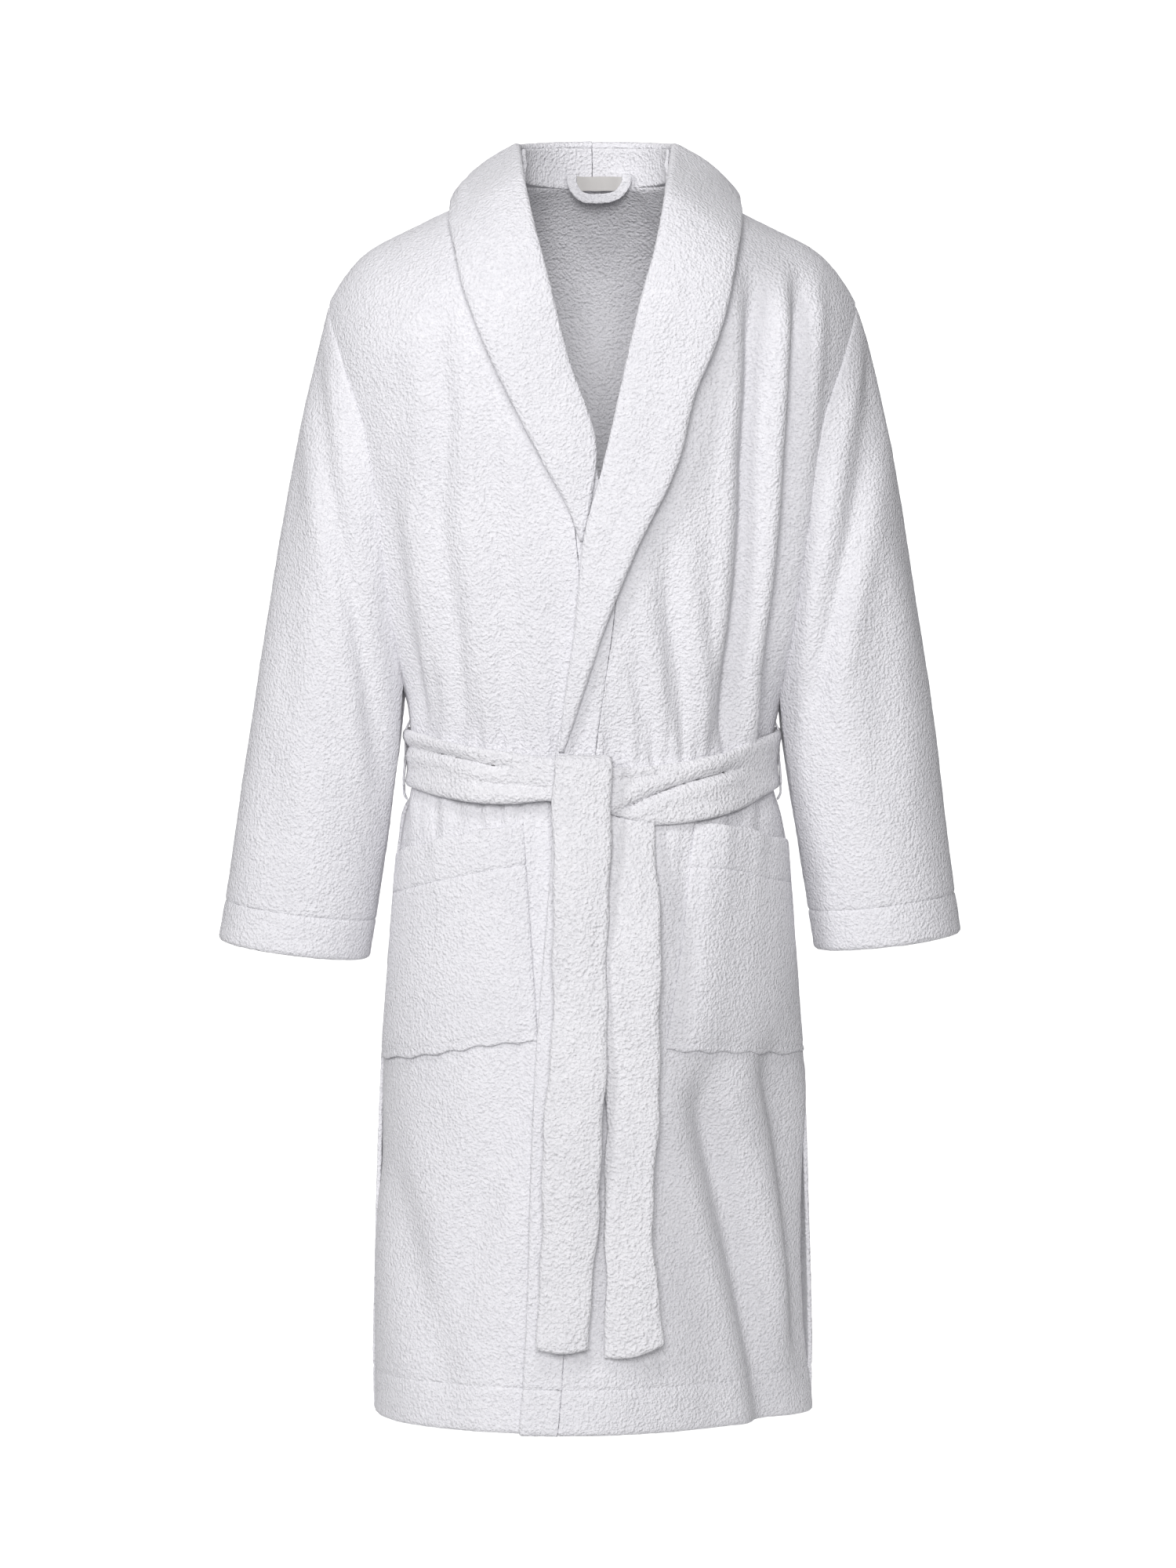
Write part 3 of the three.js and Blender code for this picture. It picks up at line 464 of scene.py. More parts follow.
def make_piece(name, vertices, faces, material):
    mesh = bpy.data.meshes.new(name)
    mesh.vertices.add(len(vertices))
    mesh.vertices.foreach_set("co", np.asarray(vertices, dtype=np.float32).ravel())
    mesh.loops.add(len(faces) * 4)
    mesh.loops.foreach_set("vertex_index", np.asarray(faces, dtype=np.int32).ravel())
    mesh.polygons.add(len(faces))
    mesh.polygons.foreach_set("loop_start", np.arange(0, len(faces) * 4, 4, dtype=np.int32))
    mesh.polygons.foreach_set("use_smooth", np.ones(len(faces), dtype=bool))
    mesh.update(calc_edges=True)
    mesh.validate()
    mesh.materials.append(material)
    piece = bpy.data.objects.new(name, mesh)
    bpy.context.collection.objects.link(piece)
    return piece


def raise_pile(piece, depth=0.0007, clumps=0.0006):
    bpy.ops.object.select_all(action="DESELECT")
    bpy.context.view_layer.objects.active = piece
    piece.select_set(True)
    for texture, amount in ((tuft_noise, clumps), (pile_noise, depth)):
        pile = piece.modifiers.new("pile", "DISPLACE")
        pile.texture = texture
        pile.texture_coords = "LOCAL"
        pile.strength = amount
        pile.mid_level = 0.5
        bpy.ops.object.modifier_apply(modifier=pile.name)


def cloth(name, points, thickness, row_round, column_round, material=terry, flip=False, closed=False):
    """Thickens a grid of points into one closed piece; the thickness may be given point by point."""
    normals = grid_normals(points, closed)
    half = np.asarray(thickness) / 2 * row_round[:, None] * column_round[None, :]
    rows, columns = points.shape[:2]
    outer = points + normals * half[..., None]
    inner = points - normals * half[..., None]
    index = np.arange(rows * columns).reshape(rows, columns)
    rim = (row_round[:, None] * column_round[None, :]) < 1e-9
    behind = np.where(rim, index, index + rows * columns)
    vertices = np.concatenate([outer.reshape(-1, 3), inner.reshape(-1, 3)])

    def quads(ids, turned):
        if closed:
            ids = np.concatenate([ids, ids[:, :1]], axis=1)
        a, b = ids[:-1, :-1], ids[:-1, 1:]
        c, d = ids[1:, 1:], ids[1:, :-1]
        order = (a, b, c, d) if turned else (a, d, c, b)
        return np.stack([corner.ravel() for corner in order], axis=-1)

    faces = np.concatenate([quads(index, flip), quads(behind, not flip)])
    used = np.unique(faces)
    renumber = np.zeros(len(vertices), dtype=int)
    renumber[used] = np.arange(len(used))
    piece = make_piece(name, vertices[used], renumber[faces], material)
    raise_pile(piece)
    return piece


pitch = 0.0036
terry_thick = 0.0042
edge_round = 0.0026
seam_round = 0.0005
hem_height = 0.038


def body_rows(start, pitch_here, stop=2.0):
    """Row numbers down the form, closer together at the top and at the stitched hem."""
    yoke = np.linspace(0.0, 1.0, int(0.30 / pitch_here)) ** 1.35
    drop = flat_z - hem_z
    skirt = np.linspace(1.0, 2.0, int(drop / pitch_here))[1:]
    stitch = 2.0 - hem_height / drop
    extra = stitch + np.array([-0.0022, -0.0009, 0.0, 0.0009, 0.0022]) / drop
    rows = np.concatenate([yoke[yoke >= start], skirt[np.abs(skirt - stitch) > 0.003 / drop], extra])
    return np.unique(np.clip(rows, start, stop))


def hem_groove(z, stitch_z, depth=0.001):
    return -depth * np.exp(-(((z - stitch_z) / 0.0019) ** 2))


def turned_up(points, normals, height, gap):
    """Carries the lower edge round and up inside, as a turned-up hem."""
    last = points[-1]
    inward = -normals[-1]
    down = points[-1] - points[-2]
    down = down / np.linalg.norm(down, axis=-1, keepdims=True)
    rows = []
    for step in range(1, 6):
        angle = math.pi * step / 6
        rows.append(last + down * gap * math.sin(angle) + inward * gap * (1 - math.cos(angle)))
    for share in np.linspace(0.0, 1.0, 8):
        rows.append(last + inward * gap * 2 - down * height * share)
    return np.concatenate([points, np.stack(rows)])


def finish_sheet(piece, body, nodes):
    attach(piece, body)
    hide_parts(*nodes)


# Back panel: one width of terry from shoulder seam to hem, cut round the neck.
# Its lower edge is turned up inside and stitched.
neck_half = 0.075
neck_back = 0.056
back_wide = 0.56
back_columns = edged(int(back_wide / 0.0042), back_wide, edge_round)


def neck_row(x):
    """Row where the back panel starts: at the neck seam near the middle, at the ridge outside."""
    want = neck_back * np.sqrt(np.clip(1 - (x / neck_half) ** 2, 0, 1))
    steps = np.linspace(0, 0.3, 400)
    depths = depth_at(np.zeros_like(steps), steps)
    return np.interp(want, depths, steps)


def back_grid(columns, rows, off):
    s = columns[None, :]
    base = np.broadcast_to(rows[:, None], (len(rows), len(columns)))
    x = across(-side_limit(base), side_limit(base), base, s)
    for _ in range(6):
        start = neck_row(x[0])[None, :]
        h = np.where(base < 1, start + (1 - start) * base, base)
        x = across(-side_limit(h), side_limit(h), h, s)
    z = height_at(x, h)
    drape = back_hang(x, z) * ease(0.0, 0.12, h) + hem_groove(z, hem_z + hem_height)
    return on_body(x, h, 1.0, off + drape)


back_rows = body_rows(0.0, 0.0044)
back_points = back_grid(back_columns, back_rows, 0.002)
back_points = turned_up(back_points, -grid_normals(back_points), hem_height, 0.0026)
back_panel = cloth(
    "back_panel_terry", back_points, terry_thick, closed_ends(len(back_points), 0.0, 0.7),
    edge_rounding(back_columns, back_wide, seam_round), flip=True)
finish_sheet(back_panel, "robe", ["back_panel", "hem_back"])


# Front panels: one width each, from the band's seam round to the side seam.
# The left one lies over the right one; both are sewn to the back at the shoulders and sides.
band_width = 0.034
left_edge = [(0.010, 0.072), (-0.085, 0.051), (-0.161, 0.032), (-0.278, 0.009), (-0.340, -0.007),
             (-0.398, -0.013), (-0.438, -0.017), (-0.485, -0.024), (-0.545, -0.031),
             (-0.645, -0.036), (-0.823, -0.049), (-1.158, -0.063), (hem_z, -0.064)]
right_edge = [(0.010, -0.068), (-0.071, -0.053), (-0.170, -0.024), (-0.278, 0.009), (-0.548, 0.032),
              (-0.836, 0.050), (hem_z, 0.062)]


def front_lift(x, is_left):
    return lap(x) if is_left else 0.0 * x


def front_grid(edge_of, outer_of, columns, rows, off, is_left):
    """A front piece between two lines, each given as x at a height."""
    s = columns[None, :]
    h = np.broadcast_to(rows[:, None], (len(rows), len(columns)))
    x = across(edge_of(level_of(h)), outer_of(level_of(h), h), h, s)
    for _ in range(6):
        z = height_at(x, h, off)
        x = across(edge_of(z), outer_of(z, h), h, s)
    z = height_at(x, h, off)
    drape = front_hang(x, z) * ease(0.0, 0.12, h) + hem_groove(z, hem_z + hem_height)
    drape = drape + 0.0016 * ease(0.030, 0.0, np.abs(x - edge_of(z)))
    return on_body(x, h, -1.0, off + drape + front_lift(x, is_left))


front_rows = body_rows(0.0, pitch)
front_wide = 0.28
front_columns = edged(int(front_wide / 0.0034), front_wide, edge_round)


def front_piece(name, nodes, is_left, columns, edge_of, outer_of, off, thickness, width, rounds):
    points = front_grid(edge_of, outer_of, columns, front_rows, off, is_left)
    points = turned_up(points, grid_normals(points) * (1 if is_left else -1), hem_height, 0.0024)
    piece = cloth(
        name, points, thickness, closed_ends(len(points), 0.0, 0.7),
        edge_rounding(columns, width, *rounds), flip=not is_left)
    finish_sheet(piece, "robe", nodes)


seam = 0.0001
front_piece(
    "front_panel_left_terry", ["front_panel_left", "hem_front_left"], True, front_columns,
    lambda z: through(left_edge, z) + band_width + seam, lambda z, h: side_limit(h),
    0.002, terry_thick, front_wide, (seam_round, seam_round))
front_piece(
    "front_panel_right_terry", ["front_panel_right", "hem_front_right"], False, front_columns,
    lambda z: through(right_edge, z) - band_width - seam, lambda z, h: -side_limit(h),
    0.002, terry_thick, front_wide, (seam_round, seam_round))

# Front bands: a doubled strip down each front edge, seamed to its panel.
# Above the crossing they run on inside the collar.
band_columns = edged(10, band_width, edge_round)


def tucked(z):
    """Where a collar half covers the band, the band's edge stops just short of the fold."""
    return 0.006 * ease(-0.540, -0.490, z)


front_piece(
    "front_band_left_terry", ["front_band_left"], True, band_columns,
    lambda z: through(left_edge, z) + tucked(z), lambda z, h: through(left_edge, z) + band_width,
    0.0026, 0.0054, band_width, (edge_round, seam_round))
front_piece(
    "front_band_right_terry", ["front_band_right"], False, band_columns,
    lambda z: through(right_edge, z) - tucked(z), lambda z, h: through(right_edge, z) - band_width,
    0.0022, 0.0048, band_width, (edge_round, seam_round))

# Sleeves: a tapered tube set into each armhole, its cuff turned up inside and stitched.
# Its upper end is set into the armhole seam on the body.
cuff_hem = 0.034
stitch_rows = np.array([-0.003, -0.0016, -0.0008, 0.0, 0.0008, 0.0016, 0.003])


def run_lengths(points):
    """Distance along a row of points, from its first one."""
    return np.concatenate([[0], np.cumsum(np.linalg.norm(np.diff(points, axis=0), axis=1))])


def armhole_loop(columns):
    """Points round the armhole seam: from the shoulder down the front, then up the back."""
    h = np.linspace(0.0, 1.0, 300)
    h = np.concatenate([h, np.linspace(1.0, float(row_at(0.178, underarm_z)), 120)[1:]])
    x = side_limit(np.minimum(h, h[-1] - 1e-4))
    run = np.stack([x, depth_at(x, h, 0.002), height_at(x, h, 0.002)], axis=-1)
    run[-1] = (0.1795, 0.0, underarm_z)
    along_run = run_lengths(run)
    share = 1 - np.abs(2 * columns - 1)
    at = share * along_run[-1]
    front = np.where(columns <= 0.5, -1.0, 1.0)
    return np.stack([
        np.interp(at, along_run, run[:, 0]),
        front * np.interp(at, along_run, run[:, 1]),
        np.interp(at, along_run, run[:, 2])], axis=-1)


def cuff_loop(columns, outer, inner, rise):
    """The cuff's ellipse, lifted along the sleeve: starts at its outer side, then the front."""
    angle = 2 * math.pi * columns
    middle = ((outer[0] + inner[0]) / 2, (outer[1] + inner[1]) / 2)
    half = ((outer[0] - inner[0]) / 2, (outer[1] - inner[1]) / 2)
    lean = 0.16
    return np.stack([
        middle[0] + half[0] * np.cos(angle) - rise * lean,
        -0.060 * np.sin(angle),
        middle[1] + half[1] * np.cos(angle) + rise - 0.003 * np.abs(np.sin(angle))], axis=-1)


sleeve_folds = {
    "right": [
        ([(-0.250, -0.200), (-0.241, -0.290), (-0.226, -0.388), (-0.215, -0.462),
          (-0.203, -0.556)], 0.009, 0.0042, 0.06),
        ([(-0.267, -0.272), (-0.275, -0.384), (-0.282, -0.490)], 0.014, 0.003, 0.08),
        ([(-0.300, -0.520), (-0.292, -0.640)], 0.016, 0.002, 0.08),
    ],
    "left": [
        ([(0.258, -0.149), (0.252, -0.216), (0.241, -0.304), (0.227, -0.397),
          (0.214, -0.480)], 0.010, 0.006, 0.06),
        ([(0.287, -0.340), (0.304, -0.438)], 0.012, 0.0036, 0.08),
        ([(0.262, -0.430), (0.268, -0.560)], 0.016, 0.0026, 0.09),
    ],
}


def make_sleeve(name, side, outer, inner, swell):
    columns = np.linspace(0, 1, 176)[:-1]
    start = armhole_loop(columns)
    stitch_loop = cuff_loop(columns, outer, inner, cuff_hem)
    end = cuff_loop(columns, outer, inner, 0.0)
    shares = np.linspace(0, 1, 132) ** 1.05
    upper = start[None] * (1 - shares[:, None, None]) + stitch_loop[None] * shares[:, None, None]
    lower_shares = np.concatenate([stitch_rows[4:] / cuff_hem, np.linspace(0.18, 1.0, 9)])
    cuff_share = lower_shares[:, None, None]
    lower = stitch_loop[None] * (1 - cuff_share) + end[None] * cuff_share
    near = 1 + stitch_rows[:3] / 0.4
    extra = start[None] * (1 - near[:, None, None]) + stitch_loop[None] * near[:, None, None]
    points = np.concatenate([upper[:-1], extra, upper[-1:], lower])
    down = np.concatenate([shares[:-1], near, [1.0], np.ones(len(lower_shares))])
    order = np.argsort(down[: len(down) - len(lower_shares)], kind="stable")
    points = np.concatenate([points[: len(order)][order], points[len(order):]])
    down = np.concatenate([down[: len(order)][order], down[len(order):]])
    normals = grid_normals(points, closed=True)
    outward = np.where(normals[:, :1, :1] > 0, 1.0, -1.0)
    normals = normals * outward
    top_share = 0.5 + 0.5 * np.cos(2 * math.pi * columns)[None, :]
    bulge = swell * np.sin(math.pi * np.clip(down, 0, 1) ** 0.62)[:, None] * (0.35 + 0.65 * top_share)
    x, y, z = points[..., 0] * side, points[..., 1], points[..., 2]
    creases = sum(fold(x, z, *settings) for settings in sleeve_folds[name])
    creases = creases * ease(0.0, 0.03, np.abs(y)) * ease(0.0, 0.10, down)[:, None]
    wave = 0.0012 * ripple(z + y, x * 2.0, 3.0 + side) * ease(0.0, 0.1, down)[:, None]
    cuff_line = outer[1] + (inner[1] - outer[1]) * (outer[0] - points[..., 0]) / (outer[0] - inner[0])
    sag = 0.003 * np.abs(np.sin(2 * math.pi * columns))[None, :]
    groove = hem_groove(z, cuff_line + cuff_hem - sag, 0.0012)
    points = points + normals * (bulge + creases + wave + groove)[..., None]
    normals = grid_normals(points, closed=True) * outward
    points = turned_up(points, normals, cuff_hem - 0.004, 0.0024)
    points[..., 0] *= side
    piece = cloth(
        f"sleeve_{name}_terry", points, terry_thick, closed_ends(len(points), 0.0, 0.75),
        np.ones(len(columns)), flip=side > 0, closed=True)
    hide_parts(f"sleeve_{name}", f"sleeve_hem_{name}")
    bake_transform(piece)


make_sleeve("right", -1.0, (0.350, -0.719), (0.212, -0.737), 0.0085)
make_sleeve("left", 1.0, (0.346, -0.712), (0.211, -0.728), 0.0125)


# Shawl collar: two halves seamed at the centre back, each folded over at the neck and running
# down its front edge as a lapel. The left lapel narrows to nothing under the belt.
fold_right = [(-0.068, 0.010), (-0.063, -0.010), (-0.056, -0.045), (-0.037, -0.121), (-0.021, -0.185),
              (0.004, -0.270), (-0.001, -0.315), (-0.008, -0.352)]
rim_right = [(-0.131, -0.037), (-0.133, -0.052), (-0.129, -0.072), (-0.117, -0.124), (-0.094, -0.182),
             (-0.045, -0.280), (-0.024, -0.318), (-0.011, -0.352)]
fold_left = [(0.074, 0.010), (0.069, -0.016), (0.056, -0.086), (0.044, -0.130), (0.031, -0.186),
             (0.009, -0.284), (-0.007, -0.344), (-0.013, -0.398), (-0.017, -0.438),
             (-0.024, -0.485), (-0.031, -0.545)]
rim_left = [(0.137, -0.033), (0.139, -0.050), (0.134, -0.083), (0.122, -0.144), (0.110, -0.180),
            (0.095, -0.215), (0.077, -0.284), (0.041, -0.359), (0.012, -0.430), (-0.003, -0.475),
            (-0.026, -0.545)]


def path(points, count):
    """A smooth line through points, sampled evenly along its length."""
    points = np.array(points)
    axes = range(points.shape[1])
    lengths = run_lengths(points)
    fine = np.linspace(0, lengths[-1], 60 * len(points))
    smooth = np.stack([through(list(zip(lengths, points[:, n])), fine) for n in axes], axis=-1)
    lengths = run_lengths(smooth)
    at = np.linspace(0, lengths[-1], count) if np.isscalar(count) else np.asarray(count) * lengths[-1]
    return np.stack([np.interp(at, lengths, smooth[:, n]) for n in axes], axis=-1)


collar_back = 0.07


def make_collar(name, side, fold_line, rim_line, under, thickness, rim_lift):
    back_count = 52
    front_count = int(1.05 * run_lengths(np.array(fold_line))[-1] / 0.0026)
    across_shares = edged(25, collar_back, 0.0042)
    t = across_shares[None, :]
    near_seam = [1.0, 0.9985, 0.995]
    turn_shares = np.concatenate([near_seam, np.linspace(0.985, 0, back_count - 3, endpoint=False)])
    turn = (math.pi / 2 * turn_shares)[:, None]
    fold_x, rim_x = abs(fold_line[0][0]), abs(rim_line[0][0])
    reach = fold_x * (1 - t) + rim_x * t
    depth = 0.061 * (1 - t) + 0.084 * t
    side_z = 0.024 * (1 - t) - 0.026 * t
    back_z = 0.0325 * (1 - t) - 0.010 * t
    dome = 0.004 * np.sin(math.pi * t)
    lift = np.sin(turn)
    back_part = np.stack(np.broadcast_arrays(
        side * (reach + dome) * np.cos(turn), (depth + dome) * lift,
        back_z * lift ** 1.5 + side_z * (1 - lift ** 1.5) + dome), axis=-1)
    share = np.linspace(0, 1, front_count)
    fold_points = path([(fold_line[0][0], 0.022)] + fold_line[1:], share)
    rim_points = path([(rim_line[0][0], -0.028)] + rim_line[1:], share)
    x = fold_points[:, :1] * (1 - t) + rim_points[:, :1] * t
    z = fold_points[:, 1:] * (1 - t) + rim_points[:, 1:] * t
    wide = np.linalg.norm(rim_points - fold_points, axis=1)[:, None]
    rise = (1 - share[:, None]) ** 7 * (1 - t) * 0.026
    rim_rise = rim_lift * ease(0.45, 1.0, t) * np.sin(math.pi * share[:, None]) ** 0.6
    puff = (0.0035 * np.sin(math.pi * t) + rim_rise) * ease(0.0, 0.045, wide)
    off = under + thickness / 2 + puff
    surface_z = z - rise
    front_y = -depth_at(x, row_at(x, surface_z, off), off)
    front_part = np.stack([x, front_y, z + 0 * x], axis=-1)
    join = ease(0.0, 0.10, share)[:, None, None]
    front_part = front_part * join + (front_part + (back_part[-1:] - front_part[:1])) * (1 - join)
    points = np.concatenate([back_part, front_part[1:]])
    normals = grid_normals(points)
    swell = 0.0009 * ripple(points[..., 0] * 1.3, points[..., 2] * 3, 5.0 + side)
    points = points + normals * swell[..., None]
    width_here = np.concatenate([np.full(back_count, collar_back), wide[1:, 0]])
    inward = np.minimum(t, 1 - t) * width_here[:, None]
    rounding = np.sqrt(np.clip(1 - (1 - np.clip(inward / (thickness * 0.55), 0, 1)) ** 2, 0, 1))
    column_round = np.where((t[0] <= 0) | (t[0] >= 1), 0.0, 1.0)
    half_scale = np.where(rounding > 1e-6, rounding, 1e-6)
    return cloth(
        f"collar_{name}_terry", points, thickness * half_scale,
        closed_ends(len(points), 0.0, 0.7, 0.95), column_round, flip=side > 0)


collar_right = make_collar("right", -1.0, fold_right, rim_right, 0.0048, 0.0078, 0.0035)
finish_sheet(collar_right, "robe", ["collar_right"])
collar_left = make_collar("left", 1.0, fold_left, rim_left, 0.0128, 0.008, 0.0065)
finish_sheet(collar_left, "robe", ["collar_left"])

# Collar stand: the inner wall of the collar round the back of the neck, one piece to each half.
# It is sewn to the neck seam below and runs up into the collar's fold.
stand_long = 0.125
stand_high = 0.032
stand_shares = edged(70, stand_long, 0.001)
stand_width = edged(12, stand_high, 0.002)
for stand_name, stand_side, stand_reach in (("right", -1.0, 0.064), ("left", 1.0, 0.0705)):
    stand_turn = (math.pi / 2 - (math.pi / 2 + 0.22) * stand_shares)[:, None]
    stand_t = stand_width[None, :]
    stand_lift = np.sin(stand_turn)
    stand_top = 0.027 * stand_lift + 0.020 * (1 - stand_lift)
    stand_foot = -0.012 * stand_lift - 0.011 * (1 - stand_lift)
    stand_drop = 0.055 * np.clip(-stand_lift, 0, 1)
    stand_bow = 0.0015 * np.sin(math.pi * stand_t)
    stand_points = np.stack(np.broadcast_arrays(
        stand_side * (stand_reach + stand_bow) * np.cos(stand_turn) + stand_side * 0.0002,
        (0.0556 + stand_bow + 0.0045 * stand_t) * stand_lift,
        stand_top * (1 - stand_t) + stand_foot * stand_t - stand_drop), axis=-1)
    stand = cloth(
        f"collar_stand_{stand_name}_terry", stand_points, 0.0036,
        edge_rounding(stand_shares, stand_long, 0.0004),
        edge_rounding(stand_width, stand_high, 0.0018),
        flip=stand_side > 0)
    finish_sheet(stand, "robe", [f"collar_stand_{stand_name}"])

# Patch pockets: one of terry on each front, its mouth turned in, stitched and a little open.
# Its outer side is caught in the side seam.
pocket_lines = {
    "right": {
        "inner": [(-0.600, -0.0625), (-0.810, -0.049)],
        "top": [(-0.200, -0.646), (-0.174, -0.639), (-0.140, -0.627), (-0.063, -0.609),
                (-0.040, -0.606)],
        "foot": [(-0.200, -0.834), (-0.174, -0.830), (-0.123, -0.820), (-0.089, -0.813),
                 (-0.053, -0.810), (-0.040, -0.809)],
    },
    "left": {
        "inner": [(-0.600, 0.090), (-0.670, 0.083), (-0.720, 0.078), (-0.815, 0.064)],
        "top": [(0.060, -0.607), (0.099, -0.610), (0.126, -0.613), (0.155, -0.623), (0.180, -0.630),
                (0.200, -0.637)],
        "foot": [(0.050, -0.815), (0.064, -0.817), (0.137, -0.823), (0.195, -0.829), (0.205, -0.830)],
    },
}
pocket_wide = 0.125
pocket_high = 0.20
pocket_edge = 0.0042
pocket_rows_edge = 0.003
stitch_share = 0.040 / 0.205


def make_pocket(name, side):
    lines = pocket_lines[name]
    columns = edged(36, pocket_wide, 0.0024)
    rows = edged(56, pocket_high, pocket_rows_edge)
    at_stitch = stitch_share + np.array([-0.012, -0.006, 0.0, 0.006, 0.012])
    rows = np.unique(np.concatenate([rows, at_stitch]))
    v = rows[:, None]
    s = columns[None, :]
    z = np.full((len(rows), len(columns)), -0.72)
    for _ in range(10):
        h = row_at(0.1, z)
        inner = through(lines["inner"], z)
        outer = side * (through(body_width, z) - 0.0015)
        x = across(inner, outer, h, s)
        top = through(lines["top"], x)
        foot = through(lines["foot"], x)
        z = top * (1 - v) + foot * v
    z = z - 0.0012 * np.sin(x * 260) * v ** 8 + 0.001 * np.sin(x * 190 + 1.0) * (1 - v) ** 8
    h = row_at(x, z)
    slack = 0.007 * (1 - v) ** 2.2 * np.sin(math.pi * np.clip(s, 0, 1)) ** 0.8
    stitch = -0.0016 * np.exp(-(((v - stitch_share) / 0.008) ** 2))
    border = -0.0012 * np.exp(-(((s - 0.055) / 0.012) ** 2))
    border = border - 0.0012 * np.exp(-(((v - 0.965) / 0.007) ** 2))
    rumple = 0.0013 * ripple(x * 2.2, z * 2.2, 6.0 + side)
    laid = 0.0062 - 0.0014 * ease(0.10, 0.0, s) + front_hang(x, z) * 0.8 + front_lift(x, side > 0)
    off = laid + slack + stitch + border + rumple
    points = on_body(x, h, -1.0, off)
    piece = cloth(
        f"pocket_{name}_terry", points, 0.0042, edge_rounding(rows, pocket_high, pocket_rows_edge),
        edge_rounding(columns, pocket_wide, pocket_edge), flip=side < 0)
    nodes = [f"pocket_{name}", f"pocket_hem_{name}"]
    finish_sheet(piece, "robe", nodes)


make_pocket("right", -1.0)
make_pocket("left", 1.0)

# Belt: a doubled strip of terry drawn round the waist through a loop on each side seam.
# It creases where it is pulled towards the knot.
belt_top_line = [(-0.180, -0.5235), (-0.167, -0.524), (-0.121, -0.535), (-0.033, -0.550),
                 (0.000, -0.556), (0.023, -0.558), (0.111, -0.545), (0.165, -0.526),
                 (0.180, -0.524)]
belt_foot_line = [(-0.180, -0.575), (-0.169, -0.577), (-0.135, -0.585), (-0.095, -0.591),
                  (-0.069, -0.592), (-0.036, -0.589), (0.000, -0.597), (0.021, -0.603),
                  (0.049, -0.611), (0.085, -0.607), (0.124, -0.597), (0.165, -0.579),
                  (0.180, -0.576)]
belt_turn = np.linspace(0, 2 * math.pi, 341)[:-1]
strap_wide = 0.052
belt_shares = edged(17, strap_wide, 0.0055)
belt_s = belt_shares[:, None]
belt_level = -0.556
belt_half = float(through(body_width, belt_level))
belt_x = belt_half * np.sign(np.sin(belt_turn)) * np.abs(np.sin(belt_turn)) ** (2 / power)
belt_front = np.cos(belt_turn) > 0
belt_top_z = np.where(belt_front, through(belt_top_line, belt_x), -0.5235)
belt_foot_z = np.where(belt_front, through(belt_foot_line, belt_x), -0.576)
belt_z = belt_top_z * (1 - belt_s) + belt_foot_z * belt_s
belt_out = np.where(belt_front, 0.0162 - 0.0082 * ease(0.09, 0.15, np.abs(belt_x)), 0.008)[None, :]
belt_xx = np.broadcast_to(belt_x, belt_z.shape)
belt_crease = (
    fold(belt_z, belt_xx, [(-0.539, -0.170), (-0.548, -0.120), (-0.558, -0.077)], 0.005, 0.003, 0.02)
    + fold(belt_z, belt_xx, [(-0.561, 0.118), (-0.579, 0.061), (-0.600, 0.018)], 0.0052, 0.0042, 0.02)
    + fold(belt_z, belt_xx, [(-0.564, 0.060), (-0.570, 0.020)], 0.0042, 0.0018, 0.015)
    + fold(belt_z, belt_xx, [(-0.572, -0.090), (-0.577, -0.040)], 0.0045, 0.0018, 0.02)
) * belt_front[None, :]
belt_out = belt_out + belt_crease + 0.0012 * ripple(belt_xx * 3, belt_z * 3 + 0.3 * belt_front, 8.0)
belt_row = row_at(belt_xx, belt_z)
belt_spread = belt_xx * (through(body_width, belt_z) / belt_half)
belt_points = on_body(belt_spread, belt_row, -1.0, belt_out)
belt_points[..., 1] = np.where(belt_front[None, :], belt_points[..., 1], -belt_points[..., 1])
belt = cloth(
    "belt_strap_terry", belt_points, 0.0086, edge_rounding(belt_shares, strap_wide, 0.0058),
    np.ones(len(belt_turn)), material=belt_terry, flip=True, closed=True)
finish_sheet(belt, "robe", ["belt_band"])

# Belt knot: the single tie of the terry strap, in front of the belt and behind the front tail.
# It is one short turn with soft rounded edges.
knot_wide = 0.050
knot_high = 0.056
knot_s = edged(14, knot_wide, 0.0044)[None, :]
knot_v = edged(16, knot_high, 0.0044)[:, None]
knot_z = -0.551 - 0.052 * knot_v + 0.006 * (knot_s - 0.5) * (1 - knot_v)
knot_x = -0.024 + 0.042 * knot_s - 0.002 * knot_v * knot_s
knot_points = np.stack(np.broadcast_arrays(
    knot_x, -0.1352 - 0.003 * np.sin(math.pi * knot_v) - 0.0035 * np.sin(math.pi * knot_s)
    + 0.0008 * np.sin(knot_z * 320 + knot_x * 90), knot_z), axis=-1)
knot = cloth(
    "belt_knot_terry", knot_points, 0.0078, edge_rounding(knot_v[:, 0], knot_high, 0.0046),
    edge_rounding(knot_s[0], knot_wide, 0.0046), material=belt_terry)
finish_sheet(knot, "robe", ["belt_knot"])

# Belt tails: the two ends hanging from the knot, the front one over the belt's top edge,
# the other out from under the belt. Each is doubled terry with a soft rounded end.
tail_wide = 0.051


